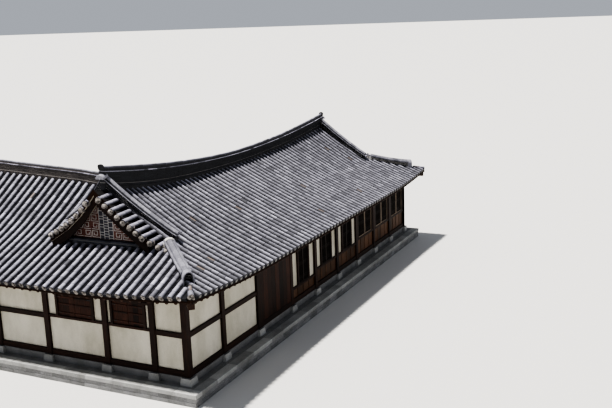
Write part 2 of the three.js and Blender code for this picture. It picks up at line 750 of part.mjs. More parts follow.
// The doorway of the front: top plate, threshold, lintel and the plaster over it
const front = walls.front;
const frontStations = stationsOf(front);
const doorLeft = frontStations[DOOR_BAY] + POST / 2;
const doorRight = frontStations[DOOR_BAY + 1] - POST / 2;
const frontEnd = frontStations[FRONT_BAYS.length];
const [plateFrom, plateTo] = [WEST - POST / 2, frontEnd + POST / 2];
const plateTop = PLATE_BOTTOM + PLATE_REACH;
const frontPlate = wallBox(front, plateFrom, -POST / 2, PLATE_BOTTOM, plateTo, POST / 2, plateTop);
addPiece("front_top_plate", largest(trimmed(frontPlate, Object.values(aboveRoof))), TIMBER);

const pivotAcross = LEAF_THICK / 2 + LEAF_CLEARANCE; // pivot's centre from the jamb
const hinges = [doorLeft + pivotAcross, doorRight - pivotAcross];
const doorSill = FOOT + SILL_HEIGHT;

function upright(radius, x, y, z0, z1) {
  const g = new THREE.CylinderGeometry(radius, radius, z1 - z0, 24);
  g.rotateX(Math.PI / 2);
  g.translate(x, y, (z0 + z1) / 2);
  return solidOf(g);
}

function doorBeam(z0, z1, socketFrom, socketTo) {
  const beam = wallBox(front, doorLeft + GAP, -POST / 2, z0, doorRight - GAP, POST / 2, z1);
  const sockets = hinges.map((x) => upright(SOCKET_RADIUS, x, SOUTH - LEAF_OUT, socketFrom, socketTo));
  return trimmed(beam, sockets);
}
const threshold = doorBeam(FOOT, doorSill, doorSill - PIVOT_LENGTH, doorSill + FUSED);
addPiece("door_threshold", threshold, TIMBER);
const lintelTop = DOOR_HEAD + LINTEL;
addPiece("door_lintel", doorBeam(DOOR_HEAD, lintelTop, DOOR_HEAD - FUSED, DOOR_HEAD + PIVOT_LENGTH), TIMBER);
const [overFrom, overTo] = [doorLeft + GAP, doorRight - GAP];
const [overFoot, overTop] = [lintelTop + GAP, PLATE_BOTTOM - GAP];
const overDoor = wallBox(front, overFrom, -PLASTER_IN, overFoot, overTo, PLASTER_OUT, overTop);
addPiece("front_plaster_over_door", overDoor, PLASTER);

// Two plank leaves that turn outwards on wooden pivots
function doorLeaf(pivotX, towards) {
  const meeting = (doorLeft + doorRight) / 2 - (towards * MEETING_GAP) / 2;
  const y = SOUTH - LEAF_OUT;
  const [z0, z1] = [doorSill + LEAF_CLEARANCE, DOOR_HEAD - LEAF_CLEARANCE];
  const [x0, x1] = [Math.min(pivotX, meeting), Math.max(pivotX, meeting)];
  const pivotFoot = doorSill - PIVOT_LENGTH + LEAF_CLEARANCE;
  const pivotHead = DOOR_HEAD + PIVOT_LENGTH - LEAF_CLEARANCE;
  return joined([
    box(x0, y - LEAF_THICK / 2, z0, x1, y + LEAF_THICK / 2, z1),
    upright(LEAF_THICK / 2, pivotX, y, z0, z1),
    upright(PIVOT_RADIUS, pivotX, y, pivotFoot, pivotHead),
  ]);
}
addPiece("door_leaf_left", doorLeaf(hinges[0], 1), TIMBER);
addPiece("door_leaf_right", doorLeaf(hinges[1], -1), TIMBER);

// Plinth of dressed stone, with a base stone under each post and a footing under each wall
const plinthPieces = [
  box(WEST - PLINTH_EDGE, SOUTH - PLINTH_EDGE, 0, EAST + PLINTH_EDGE, NORTH + PLINTH_EDGE, PLINTH_TOP),
  box(WEST - PLINTH_EDGE, SOUTH - PLINTH_EDGE, 0, INNER + PLINTH_EDGE, WING_NORTH + PLINTH_EDGE, PLINTH_TOP),
];
for (const wall of Object.values(walls)) {
  const stations = stationsOf(wall);
  const last = stations[stations.length - 1];
  const [low, high] = [PLINTH_TOP - BEDDED, FOOT - GAP];
  plinthPieces.push(wallBox(wall, wall.start, -FOOTING_HALF, low, last, FOOTING_HALF, high));
  for (const s of stations) {
    plinthPieces.push(wallBox(wall, s - STONE_HALF, -STONE_HALF, low, s + STONE_HALF, STONE_HALF, high));
  }
}
addPiece("stone_plinth", joined(plinthPieces), STONE);

// Raised floor inside the walls, on the plinth
const inset = STONE_HALF + FLOOR_CLEARANCE;
addPiece(
  "raised_floor",
  joined([
    box(WEST + inset, SOUTH + inset, PLINTH_TOP + GAP, EAST - inset, NORTH - inset, FLOOR_TOP),
    box(WEST + inset, SOUTH + inset, PLINTH_TOP + GAP, INNER - inset, WING_NORTH - inset, FLOOR_TOP),
  ]),
  TIMBER,
);

export default house;
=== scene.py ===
"""Looks of the hanok house: tiles, ridges, bricks, rafters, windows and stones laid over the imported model."""

import bisect
import json
import math
import random

import bpy
import numpy as np
from mathutils import Matrix, Vector
from mathutils.bvhtree import BVHTree


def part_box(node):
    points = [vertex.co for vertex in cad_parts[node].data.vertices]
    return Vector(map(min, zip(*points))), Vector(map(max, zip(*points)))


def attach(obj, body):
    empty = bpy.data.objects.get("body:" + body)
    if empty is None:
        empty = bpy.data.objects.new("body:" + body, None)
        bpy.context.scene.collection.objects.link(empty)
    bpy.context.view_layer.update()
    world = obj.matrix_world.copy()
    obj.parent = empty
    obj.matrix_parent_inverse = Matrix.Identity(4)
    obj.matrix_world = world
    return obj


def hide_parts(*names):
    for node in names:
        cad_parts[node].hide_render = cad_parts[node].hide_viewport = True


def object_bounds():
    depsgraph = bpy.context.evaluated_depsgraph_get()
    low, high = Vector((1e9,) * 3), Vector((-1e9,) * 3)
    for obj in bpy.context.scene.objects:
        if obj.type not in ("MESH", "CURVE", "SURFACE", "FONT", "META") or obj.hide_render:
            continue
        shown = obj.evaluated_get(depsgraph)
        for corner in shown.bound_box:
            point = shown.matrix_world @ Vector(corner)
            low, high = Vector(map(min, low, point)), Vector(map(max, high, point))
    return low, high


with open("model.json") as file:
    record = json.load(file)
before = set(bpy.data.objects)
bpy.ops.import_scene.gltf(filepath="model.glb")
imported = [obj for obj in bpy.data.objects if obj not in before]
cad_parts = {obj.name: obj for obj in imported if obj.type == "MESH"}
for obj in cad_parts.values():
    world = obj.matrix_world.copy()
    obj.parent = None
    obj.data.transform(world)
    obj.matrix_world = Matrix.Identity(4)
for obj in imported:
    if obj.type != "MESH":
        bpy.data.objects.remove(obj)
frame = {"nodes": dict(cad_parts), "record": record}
cad_low, cad_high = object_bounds()
nodes = frame["nodes"]

# Driving dimensions of the frame, in metres
WEST_EAVE, SOUTH_EAVE = cad_low.x, cad_low.y
EAST_EAVE, NORTH_EAVE = cad_high.x, cad_high.y
ROOF_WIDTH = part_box("roof_far_hip")[1].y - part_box("roof_far_hip")[0].y
HALF = ROOF_WIDTH / 2
INNER_X = WEST_EAVE + ROOF_WIDTH  # the wing's inner eave
INNER_Y = SOUTH_EAVE + ROOF_WIDTH  # the long arm's back eave
RIDGE_Y = SOUTH_EAVE + HALF
WING_RIDGE_X = WEST_EAVE + HALF
OVERHANG = 1.05  # from the eaves in to the middle of the walls
WALL_HALF = 0.105  # half of a post's width
FOOT = 0.70  # the timber frame's underside
SILL_TOP = FOOT + 0.20
PLATE_BOTTOM = FOOT + 2.78
MID_RAIL = FOOT + 1.54
WINDOW_HEAD = FOOT + 2.38
JAMB = 0.09
PLINTH_TOP = 0.45
HEAD_RAIL = 0.13
RAIL_HEIGHT = 0.17
GABLE_INSET = 2.55

# Ridges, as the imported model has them, from the ends' and the sides' eaves
VERGE_TOP = 2.72
VERGE_FOOT = 3.00
VERGE_FOOT_D = 2.42
VALLEY_FOOT_D = 3.10
VERGE_HEIGHT = 0.64
VERGE_FOOT_HEIGHT = 0.53
HIP_TOP = 2.50
HIP_FOOT = (0.78, 0.61)
HIP_HEIGHT = 0.38
HIP_END_EXTRA = 0.12
DECK_EDGE = 2.00
VERGE_DECK_D = 3.05  # from the side's eave, where the deck past the verge ridge starts
COPING_HALF = 2.25
VERGE_PITCH = 0.25
VERGE_CAP_REACH = 0.20  # how far a verge ridge's cap runs on past its courses

# Tiles
FRONT_PITCH = 0.325
SIDE_PITCH = 0.345
COURSE = 0.30
LAP = 0.02  # how far a tile reaches under the next one up
COVER_RADIUS = 0.102
COVER_SIDES = 8
COVER_BASE = 0.045
TILE_SHIFT = 0.006  # how far a tile lies out of its row's line
PLUG_ALONG_X = 0.106  # the mortar plugs' radius in rows along X
PLUG_ALONG_Y = 0.072  # and in rows along Y
TROUGH_SIDES = 4
TROUGH_BASE = 0.025
TROUGH_DEPTH = 0.035
TROUGH_LIP = 0.022
TROUGH_THICK = 0.02
DRIP_HANG = 0.135

# How light a half-round tile is, from one foot over to the other: painted shade that darkens its sides towards
# its feet between the rows, and a light crown
PAINTED_SHADE_ALONG_Y = (0.03, 0.07, 0.35, 1.0, 1.0, 0.35, 0.07, 0.03)
PAINTED_SHADE_ALONG_X = (0.03, 0.28, 0.78, 1.0, 1.0, 0.78, 0.28, 0.03)
VERGE_PAINTED_SHADE = (0.15, 0.55, 0.90, 1.0, 1.0, 0.90, 0.55, 0.15)
CAP_PAINTED_SHADE = (0.05, 0.20, 1.0, 1.0, 0.20, 0.05, 0.05)  # painted shade for a high ridge's cap: dark sides, a light crown, and its underside
DARKEST = 0.03  # the lowest tone that this painted shade leads to

UP = Vector((0, 0, 1))
DOWN = Vector((0, 0, -1))
SQUARE = ((-1, -1), (1, -1), (1, 1), (-1, 1))

rng = random.Random(7)


def random_tone(middle, spread, lowest=0.0):
    """A tone from lowest to 1, mostly near the middle."""
    return min(1.0, max(lowest, rng.gauss(middle, spread)))


# Piece building


def around(count):
    """Each point of a closed ring, with the one after it."""
    return [(k, (k + 1) % count) for k in range(count)]


def turns(count):
    """The angles of the points of a circle."""
    return [2 * math.pi * k / count for k in range(count)]


def put(name, data):
    """A new object in the scene."""
    obj = bpy.data.objects.new(name, data)
    bpy.context.scene.collection.objects.link(obj)
    return obj


class Shape:
    """Collects one piece's vertices and faces. Each face has a tone from 0 to 1 that its material reads."""

    def __init__(self):
        self.verts = []
        self.faces = []
        self.tones = []
        self.smooth = []

    def add(self, verts, faces, tone=0.5, smooth=False):
        self.verts.extend(verts)
        self.cover(len(verts), faces, tone, smooth)

    def cover(self, count, faces, tone=0.5, smooth=False):
        """Faces over the last count vertices, numbered from the first of them."""
        base = len(self.verts) - count
        for face in faces:
            self.faces.append([base + i for i in face])
            self.tones.append(tone)
            self.smooth.append(smooth)

    def pile(self, rings, tone=0.5):
        """A closed solid through rings of four points, the first ring at its foot."""
        top = 4 * len(rings) - 4
        faces = [[3, 2, 1, 0], [top, top + 1, top + 2, top + 3]]
        faces += [[r + a, r + b, r + b + 4, r + a + 4] for r in range(0, top, 4) for a, b in around(4)]
        self.add([p for ring in rings for p in ring], faces, tone)

    def box(self, corner, opposite, tone=0.5, bevel=0.0):
        """A box between two opposite corners. A bevel cuts the edges of its top and its underside."""
        (x0, x1), (y0, y1), (z0, z1) = [sorted(pair) for pair in zip(corner, opposite)]
        rings = [(0.0, z0), (0.0, z1)]
        if bevel > 0:
            rings = [(bevel, z0), (0.0, z0 + bevel), (0.0, z1 - bevel), (bevel, z1)]
        solid = []
        for b, z in rings:
            outline = ((x0 + b, y0 + b), (x1 - b, y0 + b), (x1 - b, y1 - b), (x0 + b, y1 - b))
            solid.append([Vector((x, y, z)) for x, y in outline])
        self.pile(solid, tone)

    def bar(self, start, end, width, height, side, tone=0.5):
        """A straight bar of rectangular section. side is the direction of its width."""
        along = (end - start).normalized()
        across = (side - along * side.dot(along)).normalized() * (width / 2)
        up = along.cross(across).normalized() * (height / 2)
        corners = [-across - up, across - up, across + up, -across + up]
        self.pile([[point + c for c in corners] for point in (start, end)], tone)

    def tube(self, start, end, radius, sides, tone):
        """A round bar."""
        along = (end - start).normalized()
        across = along.cross(UP)
        across = across.normalized() if across.length > 1e-3 else Vector((1, 0, 0))
        up = across.cross(along)
        ring = [across * math.cos(a) * radius + up * math.sin(a) * radius for a in turns(sides)]
        verts = [point + r for point in (start, end) for r in ring]
        self.add(verts, [[sides + a, sides + b, b, a] for a, b in around(sides)], tone, True)
        self.cover(2 * sides, [list(range(sides)), list(range(2 * sides - 1, sides - 1, -1))], tone)

    def piece(self, name, material, slot, body="house", stands_for=()):
        mesh = bpy.data.meshes.new(name)
        mesh.from_pydata([tuple(v) for v in self.verts], [], self.faces)
        tone = mesh.attributes.new("tone", "FLOAT", "FACE")
        tone.data.foreach_set("value", self.tones)
        mesh.polygons.foreach_set("use_smooth", self.smooth)
        sharpen(mesh, self.smooth)
        mesh.materials.append(material)
        mesh.update()
        obj = put(name, mesh)
        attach(obj, body)
        if stands_for:
            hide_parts(*stands_for)


def sharpen(mesh, smooth):
    """Marks the flat faces' edges as sharp, so that smooth neighbours don't take their shading."""
    edges = np.empty(len(mesh.loops), dtype=int)
    mesh.loops.foreach_get("edge_index", edges)
    sizes = np.empty(len(mesh.polygons), dtype=int)
    mesh.polygons.foreach_get("loop_total", sizes)
    flat = np.repeat(~np.array(smooth, dtype=bool), sizes)
    sharp = np.zeros(len(mesh.edges), dtype=bool)
    sharp[edges[flat]] = True
    mesh.attributes.new("sharp_edge", "BOOLEAN", "EDGE").data.foreach_set("value", sharp)


# Materials


class Paint:
    """A node material under construction, with short calls for the nodes that the materials here share."""

    def __init__(self, name, roughness, gloss=0.5):
        self.material = bpy.data.materials.new(name)
        self.material.use_nodes = True
        self.tree = self.material.node_tree
        self.shader = self.tree.nodes["Principled BSDF"]
        self.shader.inputs["Roughness"].default_value = roughness
        self.shader.inputs["Specular IOR Level"].default_value = gloss

    def node(self, kind, **values):
        made = self.tree.nodes.new(kind)
        for key, value in values.items():
            if isinstance(value, bpy.types.NodeSocket):
                self.tree.links.new(value, made.inputs[key])
            elif key in made.inputs:
                made.inputs[key].default_value = value
            else:
                setattr(made, key, value)
        return made

    def feed(self, socket, value):
        """Gives a socket another node's output, a number or a colour."""
        if isinstance(value, bpy.types.NodeSocket):
            self.tree.links.new(value, socket)
        else:
            socket.default_value = value if isinstance(value, (int, float)) else (*value, 1)

    def noise(self, scale, detail=4.0, stretch=(1, 1, 1)):
        """Noise over the object's own coordinates, scaled."""
        where = self.node("ShaderNodeTexCoord").outputs["Object"]
        where = self.node("ShaderNodeMapping", Vector=where, Scale=stretch).outputs["Vector"]
        made = self.node("ShaderNodeTexNoise", Vector=where, Scale=scale, Detail=detail, Roughness=0.6)
        return made.outputs["Fac"]

    def tone(self):
        return self.node("ShaderNodeAttribute", attribute_name="tone").outputs["Fac"]

    def ramp(self, value, *stops):
        """Colours for a value. A stop is a place and a colour, or a place and a grey as one number."""
        made = self.node("ShaderNodeValToRGB", Fac=value)
        elements = made.color_ramp.elements
        while len(elements) < len(stops):
            elements.new(0.5)
        for element, (position, colour) in zip(elements, stops):
            element.position = position
            element.color = (colour, colour, colour, 1) if isinstance(colour, float) else (*colour, 1)
        return made.outputs["Color"]

    def mix(self, factor, a, b, kind="MIX"):
        made = self.node("ShaderNodeMix", data_type="RGBA", blend_type=kind)
        for index, value in ((0, factor), (6, a), (7, b)):
            self.feed(made.inputs[index], value)
        return made.outputs[2]

    def times(self, colour, value, *stops, share=1.0):
        """A colour multiplied by a ramp of a value."""
        return self.mix(share, colour, self.ramp(value, *stops), "MULTIPLY")

    def math(self, kind, a, b=0.0):
        made = self.node("ShaderNodeMath", operation=kind)
        self.feed(made.inputs[0], a)
        self.feed(made.inputs[1], b)
        return made.outputs[0]

    def colour(self, socket):
        self.tree.links.new(socket, self.shader.inputs["Base Color"])

    def rough(self, value, low, high):
        made = self.node("ShaderNodeMapRange", Value=value)
        made.inputs["To Min"].default_value = low
        made.inputs["To Max"].default_value = high
        self.tree.links.new(made.outputs["Result"], self.shader.inputs["Roughness"])

    def bump(self, height, strength, distance):
        made = self.node("ShaderNodeBump", Height=height, Strength=strength, Distance=distance)
        self.tree.links.new(made.outputs["Normal"], self.shader.inputs["Normal"])


BROWN = (0.20, 0.155, 0.135)
BROWN_ODDS = 0.006  # how often a tile is brown along its crown
BROWN_SHARE = 0.012  # tones under this are brown
MATT = 0.08  # the gloss of dirty or sooty surfaces
WOOD_GLOSS = 0.18


def tile_material(name, dark, light, brown_share=0.0, gloss=0.5):
    """Fired clay: each tile has its own grey, some may be brown, with lichen specks and a worn surface."""
    paint = Paint(name, 0.7, gloss)
    tone = paint.tone()
    middle = [(a + b) / 2 for a, b in zip(dark, light)]
    # The tone is each tile's own grey. On half-round tiles and ridge caps it also holds painted shade towards
    # their sides.
    grey = paint.ramp(tone, (0.0, dark), (0.55, middle), (1.0, light))
    colour = paint.mix(paint.math("LESS_THAN", tone, brown_share), grey, BROWN)
    colour = paint.times(colour, paint.noise(1.3, 5.0), (0.35, (0.72, 0.72, 0.75)), (0.7, 1.12))
    grain = paint.noise(38.0, 3.0)
    colour = paint.times(colour, grain, (0.45, (0.78, 0.78, 0.80)), (0.66, (1.2, 1.2, 1.18)), share=0.8)
    chips = paint.noise(9.0, 6.0)
    paint.colour(paint.times(colour, chips, (0.56, 1.0), (0.66, (1.55, 1.55, 1.50))))
    paint.rough(grain, 0.55, 0.85)
    paint.bump(grain, 0.35, 0.006)
    return paint.material


def plaster_material(name, low, high):
    """Lime plaster or mortar, with damp stains and a trowelled surface."""
    paint = Paint(name, 0.9)
    colour = paint.ramp(paint.noise(0.9, 6.0, (1, 1, 0.5)), (0.3, low), (0.62, high))
    fine = paint.noise(26.0, 4.0)
    paint.colour(paint.times(colour, fine, (0.3, 0.9), (0.7, 1.03)))
    paint.rough(fine, 0.82, 0.95)
    paint.bump(fine, 0.25, 0.004)
    return paint.material


def lump_material():
    """Rough mortar pressed into the tiles' open ends, mottled light and dark."""
    paint = Paint("end_mortar", 0.95)
    lumps = paint.noise(13.0, 7.0)
    dark, middle, light = (0.03, 0.028, 0.027), (0.20, 0.19, 0.18), (0.46, 0.44, 0.42)
    colour = paint.ramp(lumps, (0.38, dark), (0.50, middle), (0.70, light))
    paint.colour(paint.times(colour, paint.tone(), (0.0, (0.65, 0.62, 0.60)), (1.0, (1.15, 1.1, 1.08))))
    paint.bump(lumps, 0.8, 0.02)
    return paint.material


def wood_material(name, dark, light, stretch=(14, 14, 0.9), spread=0.25):
    """Oiled timber, with its grain drawn out along the piece. spread is how much its boards differ."""
    paint = Paint(name, 0.6, WOOD_GLOSS)
    grain = paint.noise(3.0, 6.0, stretch)
    colour = paint.ramp(grain, (0.3, dark), (0.7, light))
    colour = paint.times(colour, paint.noise(1.1, 3.0), (0.3, 0.7), (0.7, (1.15, 1.12, 1.1)))
    paint.colour(paint.times(colour, paint.tone(), (0.0, 1 - spread), (1.0, 1 + spread)))
    paint.rough(grain, 0.45, 0.75)
    paint.bump(grain, 0.3, 0.004)
    return paint.material


def stone_material(name, dark, light):
    """Dressed stone, brick or iron, speckled, each block with its own shade."""
    paint = Paint(name, 0.85)
    colour = paint.ramp(paint.noise(70.0, 3.0), (0.35, dark), (0.65, light))
    colour = paint.times(colour, paint.noise(1.7, 5.0), (0.3, (0.72, 0.72, 0.7)), (0.7, 1.1))
    paint.colour(paint.times(colour, paint.tone(), (0.0, 0.78), (1.0, 1.2)))
    paint.bump(paint.noise(22.0, 5.0), 0.4, 0.01)
    return paint.material


def roof_body_material():
    """Clay under the tiles, and pale plaster on the soffit between the rafters."""
    paint = Paint("roof_body", 0.9, MATT)
    normal = paint.node("ShaderNodeNewGeometry").outputs["Normal"]
    upright = paint.node("ShaderNodeSeparateXYZ", Vector=normal).outputs["Z"]
    soffit = paint.math("LESS_THAN", upright, -0.5)
    edge = paint.math("LESS_THAN", paint.math("ABSOLUTE", upright), 0.4)
    grain = paint.noise(12.0, 4.0)
    clay = paint.ramp(grain, (0.3, (0.010, 0.010, 0.011)), (0.7, (0.030, 0.028, 0.028)))
    pale = paint.ramp(grain, (0.3, (0.42, 0.38, 0.30)), (0.7, (0.58, 0.54, 0.45)))
    # Upright edges are dark brown: partly the boards' own timber, partly painted shade under the tiles.
    paint.colour(paint.mix(edge, paint.mix(soffit, clay, pale), (0.022, 0.012, 0.008)))
    paint.bump(grain, 0.3, 0.004)
    return paint.material


TILE = tile_material("tile_cover", (0.024, 0.024, 0.031), (0.50, 0.49, 0.575), BROWN_SHARE)
# Near black: partly the under-tiles' own dark grey, partly painted shade in the troughs between the rows.
SHADED_TROUGH_TILE = tile_material("tile_trough", (0.007, 0.007, 0.009), (0.034, 0.034, 0.040), gloss=MATT)
RIDGE_TILE = tile_material("tile_ridge", (0.005, 0.0055, 0.0075), (0.022, 0.023, 0.030))
COPING_TILE = tile_material("tile_coping", (0.020, 0.022, 0.032), (0.075, 0.080, 0.105))
RIDGE_WORN = tile_material("tile_ridge_worn", (0.060, 0.052, 0.048), (0.17, 0.15, 0.14), 0.05)
CAP_TILE = tile_material("tile_cap", (0.11, 0.11, 0.13), (0.31, 0.305, 0.34))
# A near-black plate: painted shade for the hollow inside a hip ridge's arched end.
HOLLOW_SHADE = tile_material("painted_shade_hollow", (0.004, 0.004, 0.005), (0.012, 0.012, 0.013), gloss=MATT)
MORTAR = plaster_material("ridge_mortar", (0.13, 0.12, 0.115), (0.26, 0.25, 0.24))
WHITE_MORTAR = plaster_material("white_mortar", (0.42, 0.40, 0.38), (0.70, 0.68, 0.65))
# A darker copy of the plug mortar: partly the mortar's own grey, partly painted shade for the plugs in the rows
# along Y.
SHADED_EAVE_MORTAR = plaster_material("eave_mortar", (0.12, 0.115, 0.11), (0.29, 0.28, 0.27))
LUMP_MORTAR = lump_material()
PLASTER = plaster_material("wall_plaster", (0.40, 0.375, 0.30), (0.60, 0.57, 0.49))
PAPER = plaster_material("window_paper", (0.055, 0.048, 0.040), (0.11, 0.10, 0.085))
TIMBER = wood_material("dark_timber", (0.006, 0.003, 0.0022), (0.034, 0.014, 0.009))
TIMBER_X = wood_material("dark_timber_along_x", (0.006, 0.003, 0.0022), (0.038, 0.016, 0.010), (0.9, 14, 14))
TIMBER_Y = wood_material("dark_timber_along_y", (0.006, 0.003, 0.0022), (0.038, 0.016, 0.010), (14, 0.9, 14))
RAFTER_WOOD = wood_material("rafter_wood", (0.014, 0.007, 0.005), (0.060, 0.028, 0.017), (5, 5, 5))
PLANK = wood_material("door_plank", (0.006, 0.0022, 0.0015), (0.050, 0.017, 0.009), spread=0.70)
PANEL = wood_material("sill_panel", (0.040, 0.019, 0.010), (0.125, 0.062, 0.032), spread=0.45)
SCREEN = wood_material("window_screen", (0.006, 0.004, 0.003), (0.020, 0.012, 0.009))
PALE_WOOD = wood_material("pale_window_wood", (0.13, 0.10, 0.075), (0.27, 0.22, 0.17))
STONE = stone_material("granite", (0.14, 0.14, 0.145), (0.34, 0.34, 0.34))
STONE_PALE = stone_material("pale_granite", (0.24, 0.24, 0.24), (0.46, 0.46, 0.45))
RED_BRICK = stone_material("red_brick", (0.085, 0.032, 0.026), (0.19, 0.080, 0.064))
GREY_BRICK = stone_material("grey_brick", (0.025, 0.028, 0.040), (0.075, 0.080, 0.105))
ROOF_BODY = roof_body_material()
IRON = stone_material("iron", (0.02, 0.02, 0.021), (0.045, 0.044, 0.043))


# Camera, floor and light

CAMERA_PLACE = Vector((-20.780, -14.087, 11.548))  # from the eaves' near corner and the foot of the posts
YAW, PITCH, ROLL = math.radians(64.22), math.radians(12.35), math.radians(-2.01)
FOCAL_PIXELS, FRAME_PIXELS, SENSOR = 835.88, 612, 36.0
FLOOR_REACH, FLOOR_LEVEL, CAMERA_REACH = 2000.0, -0.002, 5000


def add_camera():
    """The photo's camera."""
    forward = Vector((math.sin(YAW) * math.cos(PITCH), math.cos(YAW) * math.cos(PITCH), -math.sin(PITCH)))
    level_right = forward.cross(UP).normalized()
    level_up = level_right.cross(forward)
    right = level_right * math.cos(ROLL) + level_up * math.sin(ROLL)
    up = level_up * math.cos(ROLL) - level_right * math.sin(ROLL)
    camera = put("camera", bpy.data.cameras.new("camera"))
    turn = Matrix((right, up, -forward)).transposed().to_4x4()
    place = Vector((WEST_EAVE, SOUTH_EAVE, FOOT)) + CAMERA_PLACE
    camera.matrix_world = Matrix.Translation(place) @ turn
    camera.data.sensor_width = SENSOR
    camera.data.lens = SENSOR * FOCAL_PIXELS / FRAME_PIXELS
    camera.data.clip_end = CAMERA_REACH
    bpy.context.scene.camera = camera
    bpy.context.scene.view_settings.look = "AgX - High Contrast"


def add_stage():
    """A wide pale floor, a soft sky and one sun."""
    paint = Paint("pale_floor", 0.9)
    paint.shader.inputs["Base Color"].default_value = (0.58, 0.57, 0.555, 1)
    mesh = bpy.data.meshes.new("floor")
    corners = [(a * FLOOR_REACH, b * FLOOR_REACH, FLOOR_LEVEL) for a, b in SQUARE]
    mesh.from_pydata(corners, [], [[0, 1, 2, 3]])
    mesh.materials.append(paint.material)
    put("floor", mesh)

    world = bpy.data.worlds.new("world")
    bpy.context.scene.world = world
    world.use_nodes = True
    sky = world.node_tree.nodes["Background"]
    sky.inputs["Color"].default_value = (0.86, 0.91, 1.0, 1)
    sky.inputs["Strength"].default_value = 0.40

    sun = put("sun", bpy.data.lights.new("sun", "SUN"))
    sun.data.energy = 6.9
    sun.data.angle = math.radians(3)
    sun.data.color = (1.0, 0.97, 0.92)
    toward = Vector((-0.12, 0.27, 0.92)).normalized()
    sun.rotation_mode = "QUATERNION"
    sun.rotation_quaternion = toward.to_track_quat("Z", "Y")


# Roof surfaces

RAY_LOW, RAY_HIGH = -5, 30  # under and over the whole house
HAIR = 0.003  # past the fine slits where slopes meet
BED_INSET = 0.045  # the bed's edge, behind the tiles' ends
TILE_INSET = 0.030  # the lowest tile's end, in from the eave
RUN_STEP = 0.05  # between the points that a row of tiles is measured at
RUN_JUMP = 0.12  # a step in the roof that ends a row


def surface(node):
    mesh = nodes[node].data
    return BVHTree.FromPolygons([v.co for v in mesh.vertices], [p.vertices for p in mesh.polygons])


ROOFS = [name for name in nodes if name.startswith("roof_")]
surfaces = {name: surface(name) for name in ROOFS}


def level(tree, x, y):
    hit = tree.ray_cast(Vector((x, y, RAY_HIGH)), DOWN)
    return hit[0].z if hit[0] else None


def roof_level(x, y):
    """Top of the roof's clay bed over a plan point."""
    hits = [level(tree, x + HAIR, y) for tree in surfaces.values()]
    return max(z for z in hits if z is not None)


def on_roof(line, lift=0.0):
    """The points over a line of the plan that lie on the roof's clay bed."""
    return [Vector((x, y, roof_level(x, y) + lift)) for x, y in line]


def soffit_over(x, y, z=RAY_LOW):
    """Underside of the roof that is over a point."""
    hits = [tree.ray_cast(Vector((x + HAIR, y, z)), UP)[0] for tree in surfaces.values()]
    return min((hit.z for hit in hits if hit is not None), default=z)


def add_roof_beds():
    """Boards and clay under the tiles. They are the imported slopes, drawn back a little from the eaves."""
    outer_eaves = ((0, WEST_EAVE, 1), (0, EAST_EAVE, -1), (1, SOUTH_EAVE, 1), (1, NORTH_EAVE, -1))
    for name in ROOFS:
        bed = nodes[name].data.copy()
        for vertex in bed.vertices:
            for axis, edge, inwards in outer_eaves:
                if abs(vertex.co[axis] - edge) < HAIR:
                    vertex.co[axis] += inwards * BED_INSET
            if vertex.co.y > INNER_Y - HAIR and abs(vertex.co.x - INNER_X) < HAIR:
                vertex.co.x -= BED_INSET
            if vertex.co.x > INNER_X - BED_INSET - HAIR and abs(vertex.co.y - INNER_Y) < HAIR:
                vertex.co.y -= BED_INSET
        bed.materials.clear()
        bed.materials.append(ROOF_BODY)
        piece = put(name + "_bed", bed)
        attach(piece, "house")
        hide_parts(name)


def runs(tree, start, direction, length):
    """Unbroken stretches of a surface over a straight line of the plan, as lists of points."""
    found = [[]]
    for k in range(int(length / RUN_STEP) + 1):
        p = start + direction * (k * RUN_STEP)
        z = level(tree, p.x, p.y)
        if z is None or (found[-1] and abs(z - found[-1][-1].z) > RUN_JUMP):
            found.append([])
        if z is not None:
            found[-1].append(Vector((p.x, p.y, z)))
    return [run for run in found if len(run) > 3]


class Path:
    """A line of points that can be asked for its place and direction at any length along it."""

    def __init__(self, points):
        self.points = points
        self.lengths = [0.0]
        for a, b in zip(points, points[1:]):
            self.lengths.append(self.lengths[-1] + (b - a).length)
        self.total = self.lengths[-1]

    def at(self, s):
        s = min(max(s, 0.0), self.total)
        k = min(bisect.bisect_right(self.lengths, s) - 1, len(self.points) - 2)
        span = self.lengths[k + 1] - self.lengths[k]
        share = (s - self.lengths[k]) / span if span > 0 else 0.0
        return self.points[k].lerp(self.points[k + 1], share)

    def along(self, s):
        reach = 0.15
        return (self.at(s + reach) - self.at(s - reach)).normalized()

    def tiles(self):
        """The lower and the upper end of each tile of a row."""
        count = max(1, round(self.total / COURSE))
        length = self.total / count
        return [(self.at(k * length), self.at((k + 1) * length + LAP)) for k in range(count)]


def across_and_up(along):
    across = along.cross(UP).normalized()
    return across, across.cross(along)


def between(start, end, count):
    """Plan points at even steps from start to end."""
    (x0, y0), (x1, y1) = start, end
    return [(x0 + (x1 - x0) * k / count, y0 + (y1 - y0) * k / count) for k in range(count + 1)]


def cover_tile(shape, low, high, along, radius, tone, flank_shade):
    """One half-round tile, closed below and at its ends. Its sides carry painted shade, darkest towards its
    feet, under a light crown.
    """
    across, up = across_and_up(along)
    n = COVER_SIDES + 1
    verts = []
    for centre, r, lift in ((low, radius * 1.025, 0.004), (high, radius * 0.965, 0.0)):
        for k in range(n):
            a = math.pi * k / COVER_SIDES
            verts.append(centre + across * (math.cos(a) * r) + up * (math.sin(a) * r + lift))
    shape.add(verts, [[n + k, n + k + 1, k + 1, k] for k in range(COVER_SIDES)], tone, True)
    shape.tones[-COVER_SIDES:] = [tone if share == 1.0 else max(DARKEST, tone * share) for share in flank_shade]
    flats = [list(range(n)), list(range(2 * n - 1, n - 1, -1)), [0, n, 2 * n - 1, n - 1]]
    shape.cover(2 * n, flats, DARKEST)


